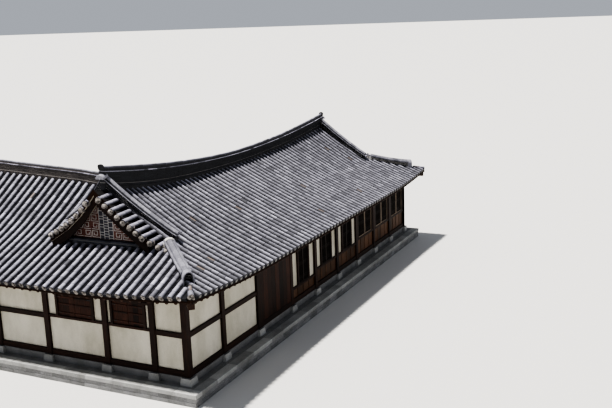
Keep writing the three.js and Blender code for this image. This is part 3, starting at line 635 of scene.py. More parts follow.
def cover_row(shape, path, radius=COVER_RADIUS, base=COVER_BASE, flank_shade=PAINTED_SHADE_ALONG_X, light=0.0):
    for low, high in path.tiles():
        along = (high - low).normalized()
        across, up = across_and_up(along)
        lift = up * base + across * rng.uniform(-TILE_SHIFT, TILE_SHIFT)
        tone = 0.0 if rng.random() < BROWN_ODDS else random_tone(0.57 + light, 0.14, 0.1)
        cover_tile(shape, low + lift, high + lift, along, radius, tone, flank_shade)


def trough_row(shape, path, width):
    """Curved under-tiles in overlapping courses, each with a lip at its lower end."""
    last = TROUGH_SIDES
    n = last + 1
    for low, high in path.tiles():
        across, up = across_and_up((high - low).normalized())
        verts = []
        for centre, lift in ((low, TROUGH_LIP), (high, 0.0)):
            for drop in (0.0, -TROUGH_THICK):
                for j in range(n):
                    u = 2 * j / last - 1
                    rise = TROUGH_BASE + TROUGH_DEPTH * u * u + lift + drop
                    verts.append(centre + across * (u * width / 2) + up * rise)
        faces = []
        for j in range(last):
            faces.append([j, j + 1, 2 * n + j + 1, 2 * n + j])
            faces.append([n + j, 3 * n + j, 3 * n + j + 1, n + j + 1])
            faces.append([j + n, j + 1 + n, j + 1, j])
            faces.append([2 * n + j, 2 * n + j + 1, 3 * n + j + 1, 3 * n + j])
        faces.append([0, 2 * n, 3 * n, n])
        faces.append([last, n + last, 3 * n + last, 2 * n + last])
        shape.add(verts, faces, random_tone(0.5, 0.2))


def drip(shape, path, width):
    """The turned-down lip of the lowest under-tile, which hangs over the eave's edge."""
    along = path.along(0.1)
    across, up = across_and_up(along)
    us = [2 * j / TROUGH_SIDES - 1 for j in range(TROUGH_SIDES + 1)]
    outline = [(u * width / 2, DRIP_HANG * (0.5 * u * u - 1)) for u in us]
    outline += [(u * width / 2, TROUGH_BASE + TROUGH_DEPTH * u * u + 0.01) for u in reversed(us)]
    rings = []
    for depth in (0.0, 0.014):
        rings.append([path.at(0) + along * depth + across * a + up * b for a, b in outline])
    loft(shape, rings, 0.4)


# Where the verge ridges run, in plan


def verge_line(d, foot):
    """How far from the end's eave a verge ridge runs, at a distance from the side's eave."""
    share = (d - foot) / (HALF - foot)
    return VERGE_FOOT + (VERGE_TOP - VERGE_FOOT) * max(0.0, share)


def outside_verge(ends, side):
    """True past a verge ridge. ends are (distance from a gable's eave, verge ridge's foot) pairs."""
    return any(side > foot and e < verge_line(side, foot) for e, foot in ends)


def main_ends(p):
    return (p.x - WEST_EAVE, VERGE_FOOT_D), (EAST_EAVE - p.x, VERGE_FOOT_D)


def near_back_ends(p):
    return ((p.x - WEST_EAVE, VALLEY_FOOT_D),)


def wing_ends(p):
    return ((NORTH_EAVE - p.y, VERGE_FOOT_D),)


def slope(axis, go, eave, first, last, ends=None, pitch=SIDE_PITCH):
    """A slope whose rows run along X (axis 0) or Y (axis 1), up from its eave, between first and last."""
    way = Vector((0, go, 0)) if axis else Vector((go, 0, 0))
    return dict(axis=axis, go=way, eave=eave, first=first, last=last, ends=ends, pitch=pitch)


SLOPES = {
    "roof_main_front": slope(1, 1, SOUTH_EAVE, WEST_EAVE, EAST_EAVE, main_ends, FRONT_PITCH),
    "roof_main_back": slope(1, -1, INNER_Y, WEST_EAVE, EAST_EAVE, main_ends, FRONT_PITCH),
    "roof_near_gable_back": slope(1, -1, INNER_Y, WEST_EAVE, EAST_EAVE, near_back_ends, FRONT_PITCH),
    "roof_wing_front": slope(0, 1, WEST_EAVE, SOUTH_EAVE, NORTH_EAVE, wing_ends),
    "roof_wing_back": slope(0, -1, INNER_X, SOUTH_EAVE, NORTH_EAVE, wing_ends),
    "roof_far_hip": slope(0, -1, EAST_EAVE, SOUTH_EAVE, INNER_Y),
    "roof_wing_hip": slope(1, -1, NORTH_EAVE, WEST_EAVE, INNER_X),
}


COPED = {
    "roof_wing_front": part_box("near_gable_coping"),
    "roof_far_hip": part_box("far_gable_coping"),
    "roof_wing_hip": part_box("wing_gable_coping"),
}


def under_coping(name, p):
    """True where the coping at a gable's foot covers the slope."""
    if name not in COPED:
        return False
    low, high = COPED[name]
    return low.x - HAIR < p.x < high.x + HAIR and low.y < p.y < high.y


def inside_runs(name, facts, at):
    """The stretches of one row that lie inside the verge ridges."""
    axis, ends = facts["axis"], facts["ends"]
    start = Vector((at, at, 0))
    start[axis] = facts["eave"] + facts["go"][axis] * TILE_INSET
    found = []
    for run in runs(surfaces[name], start, facts["go"], HALF):
        run = [p for p in run if not under_coping(name, p)]
        if ends:
            run = [p for p in run if not outside_verge(ends(p), abs(p[axis] - facts["eave"]))]
        if len(run) > 4:
            found.append(run)
    return found


def starts_at_eave(run, facts):
    return abs(run[0][facts["axis"]] - facts["eave"]) < 0.1


def tile_slope(name, facts):
    covers, troughs, plugs = Shape(), Shape(), Shape()
    # The painted shade on a row's sides depends on which way the row runs.
    flank_shade, plug_radius, mortar = PAINTED_SHADE_ALONG_X, PLUG_ALONG_X, LUMP_MORTAR
    if facts["axis"]:
        flank_shade, plug_radius, mortar = PAINTED_SHADE_ALONG_Y, PLUG_ALONG_Y, SHADED_EAVE_MORTAR
    first, last = facts["first"], facts["last"]
    rows = round((last - first) / facts["pitch"])
    pitch = (last - first) / rows
    for k in range(rows):
        for run in inside_runs(name, facts, first + (k + 0.5) * pitch):
            path = Path(run)
            cover_row(covers, path, flank_shade=flank_shade)
            if starts_at_eave(run, facts):
                along = path.along(0.1)
                place = run[0] + across_and_up(along)[1] * 0.045 + along * 0.012
                lump(plugs, place, along, plug_radius, 0.36)
    for k in range(rows + 1):
        at = min(max(first + k * pitch, first + 0.1), last - 0.1)
        for run in inside_runs(name, facts, at):
            trough_row(troughs, Path(run), pitch - COVER_RADIUS)
            if starts_at_eave(run, facts):
                drip(troughs, Path(run), pitch - COVER_RADIUS)
    short = name.replace("roof_", "")
    covers.piece("cover_tiles_" + short, TILE, "tile")
    troughs.piece("under_tiles_" + short, SHADED_TROUGH_TILE, "tile")
    if plugs.verts:
        plugs.piece("eave_plugs_" + short, mortar, "plaster")


# Ridges: courses of tiles laid one on another along a line of the roof

JOINT = 0.004  # the gap between two tiles of a course
TILE_LONG = 0.29  # how long a course's tiles are
BED_LONG = 0.9  # and the stretches of mortar or of a plain layer


class Rail:
    """A ridge's line: for each length along it, its foot, its direction and its height."""

    def __init__(self, feet, height):
        self.path = Path(feet)
        self.height = height

    def frame(self, s):
        flat = self.path.along(s)
        flat.z = 0
        across = flat.normalized().cross(UP)
        share = s / self.path.total
        return self.path.at(s), across, self.height(share)

    def ring(self, s, profile):
        """The profile's points. They are (across in metres, up as a share of the height)."""
        foot, across, height = self.frame(s)
        return [foot + across * a + Vector((0, 0, height * u)) for a, u in profile]


def loft(shape, rings, tone, smooth=False, shade_shares=None):
    """Closed solid through rings of points, the rings counterclockwise as seen from the start."""
    n = len(rings[0])
    last = n * (len(rings) - 1)
    faces = [[r + a, r + n + a, r + n + b, r + b] for r in range(0, last, n) for a, b in around(n)]
    shape.add([p for ring in rings for p in ring], faces, tone, smooth)
    # Painted shade: the sides' tones are darkened by the given shares.
    if shade_shares:
        shape.tones[-n:] = [max(DARKEST, tone * share) for share in shade_shares]
    shape.cover(last + n, [list(range(n)), list(range(last + n - 1, last - 1, -1))], tone)


def course(shape, rail, profile, length, joint=JOINT, start=0.0, end=None, smooth=False, shade_shares=None):
    """One course of tiles along a rail, each tile with a tone of its own."""
    end = rail.path.total if end is None else end
    count = max(1, round((end - start) / length))
    step = (end - start) / count
    for k in range(count):
        s0, s1 = start + k * step + joint / 2, start + (k + 1) * step - joint / 2
        tone = random_tone(0.5, 0.18)
        shift = rng.uniform(-0.003, 0.003)
        moved = [(a + shift, u) for a, u in profile]
        loft(shape, [rail.ring(s0, moved), rail.ring(s1, moved)], tone, smooth, shade_shares)


def strip(half, low, high):
    return [(-half, low), (half, low), (half, high), (-half, high)]


def rounded(half, low, high, sides=6):
    """A half-round outline, from one side over to the other."""
    angles = [math.pi * k / sides for k in range(sides + 1)]
    return [(math.cos(a) * half, low + math.sin(a) * (high - low)) for a in angles]


def arch(half, top, sides):
    """An arched opening's outline, from its right foot over to its left."""
    return [(half, 0.02)] + rounded(half, 0.5, top, sides) + [(-half, 0.02)]


def double_courses(rail, low, high, count, share, lower, upper, end=None):
    """Courses of two layers, lower and upper. Each layer is its shape, half width, tile length and joint."""
    step = (high - low) / count
    for k in range(count):
        z = low + k * step
        middle = z + step * share
        for layer, z0, z1 in ((lower, z, middle), (upper, middle, z + step)):
            shape, half, length, joint = layer
            course(shape, rail, strip(half, z0, z1), length, joint, end=end)


def ridge_pieces(name, dark, pale, lime, stack=RIDGE_TILE, cap=CAP_TILE, mortar=WHITE_MORTAR):
    dark.piece(name + "_stack", stack, "tile", stands_for=(name,))
    pale.piece(name + "_cap", cap, "tile")
    lime.piece(name + "_mortar", mortar, "plaster")


def main_ridge_courses(name, rail, stack):
    """High ridge: a dark foot, a roll, a stack of flat courses, an overhanging course and a round cap."""
    dark, pale, lime = Shape(), Shape(), Shape()
    course(dark, rail, strip(0.118, -0.04, 0.21), 0.34)
    roll = [(0.12, 0.20), (0.15, 0.235), (0.155, 0.265), (0.135, 0.30)]
    roll = [(-0.12, 0.20)] + roll + [(-a, u) for a, u in reversed(roll[1:])]
    course(dark, rail, roll, 0.31)
    course(lime, rail, strip(0.128, 0.30, 0.325), BED_LONG, 0.0)
    lower, upper = (dark, 0.143, TILE_LONG, JOINT), (dark, 0.127, BED_LONG, 0.0)
    double_courses(rail, 0.325, 0.77, 7, 0.62, lower, upper)
    course(pale, rail, strip(0.158, 0.77, 0.80), TILE_LONG)
    course(dark, rail, strip(0.105, 0.80, 0.865), BED_LONG, 0.0)
    # The cap's sides carry painted shade and its crown stays light.
    course(pale, rail, rounded(0.085, 0.865, 1.0), 0.3, 0.003, smooth=True, shade_shares=CAP_PAINTED_SHADE)
    ridge_pieces(name, dark, pale, lime, stack, TILE, MORTAR)


def verge_courses(name, rail):
    """Verge ridge: courses with white joints, a wide bed and a flat round cap. Its foot has a dark end."""
    dark, pale, lime = Shape(), Shape(), Shape()
    total = rail.path.total
    cut = total - VERGE_CAP_REACH
    course(dark, rail, strip(0.13, -0.08, 0.30), 0.34, end=cut)
    lower, upper = (lime, 0.146, BED_LONG, 0.0), (dark, 0.162, TILE_LONG, JOINT)
    double_courses(rail, 0.30, 0.76, 5, 0.34, lower, upper, cut)
    course(pale, rail, strip(0.188, 0.75, 0.79), 0.3)
    course(dark, rail, strip(0.150, 0.79, 0.83), 0.31)
    course(pale, rail, rounded(0.092, 0.83, 1.0, 8), 0.31, 0.003, smooth=True)
    course(dark, rail, strip(0.10, -0.05, 0.72), 0.08, start=cut, end=total - 0.10)
    ridge_pieces(name, dark, pale, lime)


def hip_courses(name, rail):
    """Hip ridge: a low stack under a wide cap of three lanes, with an arched open end over the corner."""
    dark, pale, lime, hollow = Shape(), Shape(), Shape(), Shape()
    total = rail.path.total
    mouth = total - 0.24
    course(dark, rail, strip(0.150, -0.10, 0.30), 0.34, end=mouth)
    lower, upper = (lime, 0.160, BED_LONG, 0.0), (dark, 0.174, TILE_LONG, JOINT)
    double_courses(rail, 0.30, 0.60, 3, 0.4, lower, upper, mouth)
    lanes = [(0.180, 0.60), (0.200, 0.67), (0.192, 0.80), (0.150, 0.86)]
    lanes += [(0.108, 0.76), (0.092, 0.88), (0.050, 0.99)]
    lanes += [(-a, u) for a, u in reversed(lanes)]
    course(pale, rail, lanes, 0.31, 0.003, end=mouth)
    collar = [(a * 1.07, u * 1.04) for a, u in arch(0.195, 1.0, 6)]
    loft(lime, [rail.ring(0.02, collar), rail.ring(0.13, collar)], 0.9)
    inner = arch(0.155, 0.92, 10)
    rings = []
    for s, wide in ((mouth - 0.01, 0.180), (total, 0.195)):
        rings.append(rail.ring(s, arch(wide, 1.0, 10) + inner[::-1]))
    arch_solid(pale, rings)
    # The plate in the mouth is painted shade for the hollow behind it.
    loft(hollow, [rail.ring(mouth - 0.02, inner), rail.ring(mouth, inner)], 0.3)
    ridge_pieces(name, dark, pale, lime)
    hollow.piece(name + "_hollow", HOLLOW_SHADE, "tile")


def arch_solid(shape, rings):
    """A band between an outer and an inner outline, from one ring to the next. Both are open at the foot."""
    n = len(rings[0])
    faces = [[a, n + a, n + b, b] for a, b in around(n)]
    for k in range(n // 2 - 1):
        inner_a, inner_b = n - 1 - k, n - 2 - k
        faces.append([k, k + 1, inner_b, inner_a])
        faces.append([n + k, n + inner_a, n + inner_b, n + k + 1])
    shape.add([p for ring in rings for p in ring], faces, 0.75)


def ridge_end(shape, place, out, width, height):
    """Upright end tile of a ridge: a plate with an arched head that leans outwards."""
    side = out.cross(UP).normalized()
    lean = (UP + out * 0.25).normalized()
    outline = [(-width / 2, 0.0), (width / 2, 0.0)] + rounded(width / 2, height * 0.6, height, 8)
    rings = []
    for depth in (-0.05, 0.03):
        rings.append([place + out * depth - side * a + lean * u for a, u in outline])
    loft(shape, rings, 0.2)


# The roof's three ends, each with a map from (in from the end, across) to the plan


def near_end(a, b):
    return WEST_EAVE + a, SOUTH_EAVE + b


def far_end(a, b):
    return EAST_EAVE - a, SOUTH_EAVE + b


def wing_end(a, b):
    return WEST_EAVE + b, NORTH_EAVE - a


def roof_end(plan, below, out, hips=(0, 1), second_foot=VERGE_FOOT_D):
    """An end: its map, the slope below its gable, the way out, its hips and its verge ridges' feet."""
    return dict(plan=plan, slope=below, out=Vector(out), hips=hips, feet=(VERGE_FOOT_D, second_foot))


ENDS = {
    "near": roof_end(near_end, "roof_wing_front", (-1, 0, 0), (0,), VALLEY_FOOT_D),
    "far": roof_end(far_end, "roof_far_hip", (1, 0, 0)),
    "wing": roof_end(wing_end, "roof_wing_hip", (0, 1, 0)),
}


def from_side(d, side):
    """A distance from one of an end's two side eaves, as a distance across."""
    return ROOF_WIDTH - d if side else d


def plan_line(plan, start, end, side, count=24):
    """Plan points from start to end, both as (in from the end, from the side's eave)."""
    return [plan(a, from_side(d, side)) for a, d in between(start, end, count)]


def node_height(node, line):
    """A ridge's height over the roof, as a function of the share of its length."""
    tree = surface(node)
    tops = [level(tree, x, y) for x, y in line]
    known = [k for k, top in enumerate(tops) if top is not None]
    heights = []
    for k in range(len(line)):
        nearest = min(max(k, known[0]), known[-1])
        heights.append(tops[nearest] - roof_level(*line[nearest]))

    def height(share):
        place = min(max(share, 0.0), 1.0) * (len(heights) - 1)
        k = min(int(place), len(heights) - 2)
        return heights[k] + (heights[k + 1] - heights[k]) * (place - k)

    return height


def level_height(share):
    """A height of 1, so that a profile's upward values are metres."""
    return 1.0


def verge_height(share):
    return VERGE_HEIGHT + (VERGE_FOOT_HEIGHT - VERGE_HEIGHT) * share


def hip_height(share):
    return HIP_HEIGHT + HIP_END_EXTRA * share**3


def add_ridges():
    arm = between((WEST_EAVE + GABLE_INSET, RIDGE_Y), (EAST_EAVE - GABLE_INSET, RIDGE_Y), 60)
    main_ridge_courses("main_ridge", Rail(on_roof(arm), node_height("main_ridge", arm)), RIDGE_TILE)
    wing = between((WING_RIDGE_X, RIDGE_Y + 0.16), (WING_RIDGE_X, NORTH_EAVE - GABLE_INSET), 40)
    main_ridge_courses("wing_ridge", Rail(on_roof(wing), node_height("wing_ridge", wing)), RIDGE_WORN)
    tops = {
        "near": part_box("main_ridge")[1].z,
        "far": level(surface("main_ridge"), EAST_EAVE - GABLE_INSET - 0.01, RIDGE_Y),
        "wing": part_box("wing_ridge")[1].z,
    }
    nubs, saddles = Shape(), Shape()
    for end, facts in ENDS.items():
        plan = facts["plan"]
        place = Vector((*plan(GABLE_INSET, HALF), tops[end] - 0.14))
        ridge_end(nubs, place, facts["out"], 0.23, 0.22)
        apex = roof_level(*plan(VERGE_TOP, HALF - 0.16)) + VERGE_HEIGHT
        feet = []
        for k in range(7):
            feet.append(Vector((*plan(GABLE_INSET - 0.16 + 0.05 * k, HALF), apex - 0.06 + 0.012 * k)))
        saddle = Rail(feet, level_height)
        loft(saddles, [saddle.ring(s, rounded(0.185, 0.0, 0.15, 8)) for s in (0.0, 0.15, 0.30)], 0.7, True)
        for side, foot in enumerate(facts["feet"]):
            line = plan_line(plan, (VERGE_TOP, HALF - 0.08), (VERGE_FOOT, foot), side)
            verge_courses(end + "_gable_verge_ridge_" + str(side + 1), Rail(on_roof(line), verge_height))
        for side in facts["hips"]:
            line = plan_line(plan, (HIP_TOP, HIP_TOP), HIP_FOOT, side)
            hip_courses(end + "_hip_ridge_" + str(side + 1), Rail(on_roof(line), hip_height))
    nubs.piece("ridge_end_tiles", RIDGE_TILE, "tile")
    saddles.piece("ridge_end_saddles", CAP_TILE, "tile")


# Hips, valley, verges


def add_corner_tiles():
    """The row of wide tiles that runs from each hip ridge's mouth to the corner, and the valley's gutter."""
    covers, plugs, gutter = Shape(), Shape(), Shape()
    corners = [(facts["plan"], side) for facts in ENDS.values() for side in facts["hips"]]
    for plan, side in corners:
        line = plan_line(plan, (0.10, 0.10), (HIP_FOOT[0] - 0.16, HIP_FOOT[1] - 0.13), side)
        path = Path(on_roof(line))
        cover_row(covers, path, radius=0.115, base=0.04, light=0.1)
        along = path.along(0.05)
        lump(plugs, path.at(0) + across_and_up(along)[1] * 0.05 + along * 0.02, along, 0.125, 0.5)
    valley = on_roof(between((INNER_X, INNER_Y), (WING_RIDGE_X, RIDGE_Y), 30), 0.01)
    trough_row(gutter, Path(valley[1:-2]), 0.42)
    covers.piece("corner_tiles", TILE, "tile")
    plugs.piece("corner_plugs", LUMP_MORTAR, "plaster")
    gutter.piece("valley_gutter", SHADED_TROUGH_TILE, "tile")


def add_verge_tiles():
    """Short rows that point outwards past each verge ridge, with mortar in their open ends."""
    radius, out_of_edge = 0.108, 0.06
    for end, facts in ENDS.items():
        covers, lumps = Shape(), Shape()
        for side, foot in enumerate(facts["feet"]):
            count = round((HALF - 0.30 - foot) / VERGE_PITCH)
            for k in range(count + 1):
                d = foot + 0.05 + k * VERGE_PITCH
                b = from_side(d, side)
                inner = facts["plan"](verge_line(d, foot) - 0.05, b)
                edge = facts["plan"](DECK_EDGE - out_of_edge + rng.uniform(-0.02, 0.02), b)
                high = Vector((*inner, roof_level(*inner) + 0.05))
                low = Vector((*edge, high.z - 0.035))
                if d < VERGE_DECK_D:
                    back = facts["plan"](DECK_EDGE + (VERGE_DECK_D - d) * 0.45, b)
                    low = Vector((*back, high.z - 0.06))
                    stack_of_lumps(lumps, low, roof_level(*back))
                along = (high - low).normalized()
                tone = random_tone(0.68, 0.12, 0.1)
                middle = low.lerp(high, 0.5)
                cover_tile(covers, low, middle, along, radius, tone, VERGE_PAINTED_SHADE)
                cover_tile(covers, middle, high, along, radius, tone - 0.1, VERGE_PAINTED_SHADE)
                lump(lumps, low, along, radius * 1.12)
                lump(lumps, low + along * 0.13, along, radius * 1.20, 0.9)
        covers.piece(end + "_verge_tiles", TILE, "tile")
        lumps.piece(end + "_verge_lumps", LUMP_MORTAR, "plaster")


def stack_of_lumps(shape, top, foot):
    """Lumps on end under a short tile, down to the slope below. They have no width, so they don't show."""
    z = top.z - 0.10
    while z > foot:
        lump(shape, Vector((top.x, top.y, z)), UP, 0.13)
        z -= 0.10


LUMP_RINGS = ((0.05, 0.72), (0.0, 1.0), (-0.045, 0.94), (-0.085, 0.55))  # how deep, and a share of the radius
LUMP_SIDES = 9


def lump(shape, low, along, radius, bulge=1.0):
    """A rough ball of mortar that fills a tile's open end and hangs a little below it."""
    across, up = across_and_up(along)
    centre = low - up * (radius * 0.16 * bulge)
    verts = []
    for depth, share in LUMP_RINGS:
        for a in turns(LUMP_SIDES):
            r = radius * share * rng.uniform(0.80, 1.16)
            rim = across * (math.cos(a) * r) + up * (math.sin(a) * r * 0.92)
            verts.append(centre + along * (depth * bulge) + rim)
    verts += [centre + along * (0.05 * bulge), centre - along * (0.10 * bulge)]
    n = LUMP_SIDES
    outer = n * (len(LUMP_RINGS) - 1)
    faces = [[r + n + a, r + n + b, r + b, r + a] for r in range(0, outer, n) for a, b in around(n)]
    for a, b in around(n):
        faces.append([a, b, outer + n])
        faces.append([outer + b, outer + a, outer + n + 1])
    shape.add(verts, faces, rng.random(), True)


# Gables: fret of white mortar over grey and red brick, and the coping at their foot


FRET = 0.075
FRET_LINE = 0.020
FRET_FOOT = 0.04
GABLE_MIDDLE = 0.30  # half the width of the grey panel
GABLE_SIDE = 2.4  # and of the whole gable at its foot
PANEL_TOP = 1.8
PANEL_ROW = 0.1


def fret_path(column, row):
    """A square hook of the old thunder pattern, in units of the fret, inside a field of 5 by 4."""
    x, y = column * 5, row * 4
    mirrored = (column + row) % 2
    hook = [(0, 0), (4, 0), (4, 3), (1, 3), (1, 1), (3, 1), (3, 2)]
    return [(x + (4 - a if mirrored else a), y + b) for a, b in hook]


def gable_frame(end, plan):
    """Two functions: a place on the gable, from the middle of its foot, and the roof's height over it."""
    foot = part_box(end + "_gable_coping")[1].z

    def place(across, up, proud):
        x, y = plan(GABLE_INSET - proud, HALF + across)
        return Vector((x, y, foot + up))

    def head(across):
        x, y = plan(GABLE_INSET - 0.03, HALF + across)
        return soffit_over(x, y, foot + 0.01) - foot - 0.02

    return place, head


def fret_bar(shape, place, head, a, b):
    """A line of mortar from a to b on the gable, stopped under the roof. Upright ones are prouder."""
    upright = a[0] == b[0]
    proud = 0.0135 if upright else 0.012
    inside = [(x, y) for x, y in between(a, b, 8) if y < head(x)]
    if len(inside) < 2:
        return
    (x0, y0), (x1, y1) = inside[0], inside[-1]
    half = FRET_LINE / 2
    end = half - 0.001 if upright else half
    low = place(min(x0, x1) - half, min(y0, y1) - end, proud)
    high = place(max(x0, x1) + half, max(y0, y1) + end, -0.005)
    shape.box(low, high)


def add_fret(shape, place, head):
    """Hooks on both sides of the gable, and a grid of joints on its middle panel."""
    for sign in (-1, 1):
        for column in range(5):
            for row in range(6):
                points = []
                for a, b in fret_path(column, row):
                    points.append((sign * (GABLE_MIDDLE + 0.05 + a * FRET), b * FRET + FRET_FOOT))
                for a, b in zip(points, points[1:]):
                    fret_bar(shape, place, head, a, b)
    columns, rows = 3, 18
    width = 2 * GABLE_MIDDLE / columns
    for column in range(columns + 1):
        x = -GABLE_MIDDLE + column * width
        fret_bar(shape, place, head, (x, 0.0), (x, PANEL_TOP))
    for column in range(columns):
        x = -GABLE_MIDDLE + column * width
        for row in range(rows):
            z = FRET_FOOT + row * PANEL_ROW + PANEL_ROW / 2 * (column % 2)
            if (column + row) % 3 != 2 or column % 2:
                fret_bar(shape, place, head, (x, z), (x + width, z))


def add_gables():
    for end, facts in ENDS.items():
        place, head = gable_frame(end, facts["plan"])
        red, grey, fret = Shape(), Shape(), Shape()
        brick(red, place, head, -GABLE_SIDE, -GABLE_MIDDLE)
        brick(red, place, head, GABLE_MIDDLE, GABLE_SIDE)
        brick(grey, place, head, -GABLE_MIDDLE, GABLE_MIDDLE)
        add_fret(fret, place, head)
        red.piece(end + "_gable_red_bricks", RED_BRICK, "brick")
        grey.piece(end + "_gable_grey_bricks", GREY_BRICK, "brick")
        fret.piece(end + "_gable_fret", WHITE_MORTAR, "plaster")
        coping(end, facts)


def brick(shape, place, head, x_low, x_high):
    """Bricks in running bond on one field of a gable."""
    tall, long, joint = 0.062, 0.20, 0.008
    for row in range(30):
        z = row * tall
        x = x_low - (long / 2 if row % 2 else 0)
        while x < x_high:
            a, b = max(x, x_low) + joint / 2, min(x + long, x_high) - joint / 2
            x += long
            if b - a < 0.02 or z + tall > min(head(a), head(b)):
                continue
            low, high = place(a, z + joint / 2, 0.006), place(b, z + tall - joint / 2, -0.01)
            shape.box(low, high, rng.random())


def coping(end, facts):
    """Three courses of flat tiles at the gable's foot, each set back from the one below."""
    plan = facts["plan"]
    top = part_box(end + "_gable_coping")[1].z
    steps, lime, lumps = Shape(), Shape(), Shape()
    left, right = HALF - COPING_HALF, HALF + COPING_HALF
    line = between(plan(GABLE_INSET - 0.115, left), plan(GABLE_INSET - 0.115, right), 30)
    rail = Rail([Vector((x, y, top - 0.30)) for x, y in line], level_height)
    outward = -1 if rail.frame(1.0)[1].dot(facts["out"]) < 0 else 1

    def layer(shape, outer_low, outer_high, z0, z1, rise, length, joint):
        profile = [(-0.11, z0), (outer_low, z0), (outer_high, z1), (-0.11, z1 + rise)]
        profile = [(outward * a, u) for a, u in profile]
        course(shape, rail, profile[::outward], length, joint)

    for outer, z0, z1 in ((0.115, 0.0, 0.12), (0.100, 0.135, 0.20), (0.075, 0.215, 0.27)):
        layer(steps, outer, outer - 0.01, z0, z1, 0.02, TILE_LONG, JOINT)
    for z in (0.12, 0.20):
        layer(lime, 0.085, 0.085, z, z + 0.016, 0.0, BED_LONG, 0.0)
    rows = round(2 * COPING_HALF / SIDE_PITCH)
    for _, b in between((0, left), (0, right), rows):
        slope_top = level(surfaces[facts["slope"]], *plan(GABLE_INSET - 0.26, b))
        lump(lumps, Vector((*plan(GABLE_INSET - 0.235, b), slope_top + 0.05)), -facts["out"], 0.085, 0.6)
    lumps.piece(end + "_coping_lumps", LUMP_MORTAR, "plaster")
    steps.piece(end + "_coping_tiles", COPING_TILE, "tile", stands_for=(end + "_gable_coping",))
    lime.piece(end + "_coping_mortar", MORTAR, "plaster")


# Eaves: rafters, hip rafters and the boards at their ends


RAFTER_PITCH = 0.36
RAFTER_RADIUS = 0.062
RAFTER_DROP = RAFTER_RADIUS + 0.012  # their middle, down from the soffit
RAFTER_INSET = 0.13  # rafters' ends, in from the eave edge
RAFTER_REACH = 1.75  # and their inner ends
FAN = 2.3  # how far from a corner the rafters fan out
BOARD_INSET = 0.09  # the eave board, in from the eave edge


def under_roof(point, drop):
    """A point under the roof over a plan point."""
    return Vector((*point, soffit_over(*point) - drop))


def eave_runs():
    """The straight eaves in plan: a start, a direction, a length, the way in, and which ends are corners."""
    w, e, s, n = WEST_EAVE, EAST_EAVE, SOUTH_EAVE, NORTH_EAVE
    x, y = INNER_X, INNER_Y
    return (
        ("front", Vector((w, s)), Vector((1, 0)), e - w, Vector((0, 1)), (True, True)),
        ("west", Vector((w, s)), Vector((0, 1)), n - s, Vector((1, 0)), (True, True)),
        ("wing_end", Vector((w, n)), Vector((1, 0)), x - w, Vector((0, -1)), (True, True)),
        ("wing_inner", Vector((x, y)), Vector((0, 1)), n - y, Vector((-1, 0)), (False, True)),
        ("rear", Vector((x, y)), Vector((1, 0)), e - x, Vector((0, -1)), (False, True)),
        ("far_end", Vector((e, s)), Vector((0, 1)), y - s, Vector((-1, 0)), (True, True)),
    )


def add_rafters():
    """Round rafters under the eaves, fanned out at the corners, and a board along their ends."""
    for name, start, go, length, inward, corners in eave_runs():
        shape, board = Shape(), Shape()
        count = round(length / RAFTER_PITCH)
        for k in range(count + 1):
            s = min(max(length * k / count, 0.22), length - 0.22)
            eave = start + go * s + inward * RAFTER_INSET
            inner = start + go * s + inward * RAFTER_REACH
            for near, corner in ((s, corners[0]), (length - s, corners[1])):
                if corner and near < FAN:
                    side = 1 if near == s else -1
                    origin = start if side == 1 else start + go * length
                    target = origin + go * (side * FAN) + inward * FAN
                    inner = eave.lerp(target, 0.72)
            outer_end, inner_end = under_roof(eave, RAFTER_DROP), under_roof(inner, RAFTER_DROP)
            shape.tube(outer_end, inner_end, RAFTER_RADIUS, 8, rng.random())
        steps = round(length / 0.6)
        places = [max(0.03, min(length - 0.03, length * k / steps)) for k in range(steps + 1)]
        points = [under_roof(start + go * s + inward * BOARD_INSET, 0.018) for s in places]
        for a, b in zip(points, points[1:]):
            board.bar(a, b, 0.06, 0.05, Vector((*inward, 0)))
        shape.piece(name + "_rafters", RAFTER_WOOD, "timber")
        board.piece(name + "_eave_board", TIMBER_Y if go.y else TIMBER_X, "timber")


def add_hip_rafters():
    shape = Shape()
    for facts in ENDS.values():
        for side in facts["hips"]:
            line = plan_line(facts["plan"], (0.13, 0.13), (1.6, 1.6), side, 6)
            points = [under_roof(point, 0.15) for point in line]
            for a, b in zip(points, points[1:]):
                shape.bar(a, b + (b - a) * 0.05, 0.21, 0.27, (b - a).cross(UP), 0.4)
    shape.piece("hip_rafters", RAFTER_WOOD, "timber")


# Walls: posts, rails, boarding and windows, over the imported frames


class Wall:
    """One outer wall: places along it and outwards from its middle line."""

    def __init__(self, plan, start, bays, fill, grain):
        self.plan = plan
        self.stations = [start]
        for bay in bays:
            self.stations.append(self.stations[-1] + bay)
        self.fill = fill
        self.grain = grain

    def box(self, shape, s0, t0, z0, s1, t1, z1, tone=0.5, bevel=0.0):
        shape.box((*self.plan(s0, t0), z0), (*self.plan(s1, t1), z1), tone, bevel)

    def bays(self):
        return zip(self.stations, self.stations[1:], self.fill)

    def corners(self, done):
        """Each station, and whether its post is still to be made. done holds the places of those made."""
        for s in self.stations:
            place = tuple(round(v, 2) for v in self.plan(s, 0.0))
            yield s, place not in done
            done.add(place)


def window(low, width, style, boarded=False):
    return dict(low=FOOT + low, width=width, style=style, boarded=boarded)


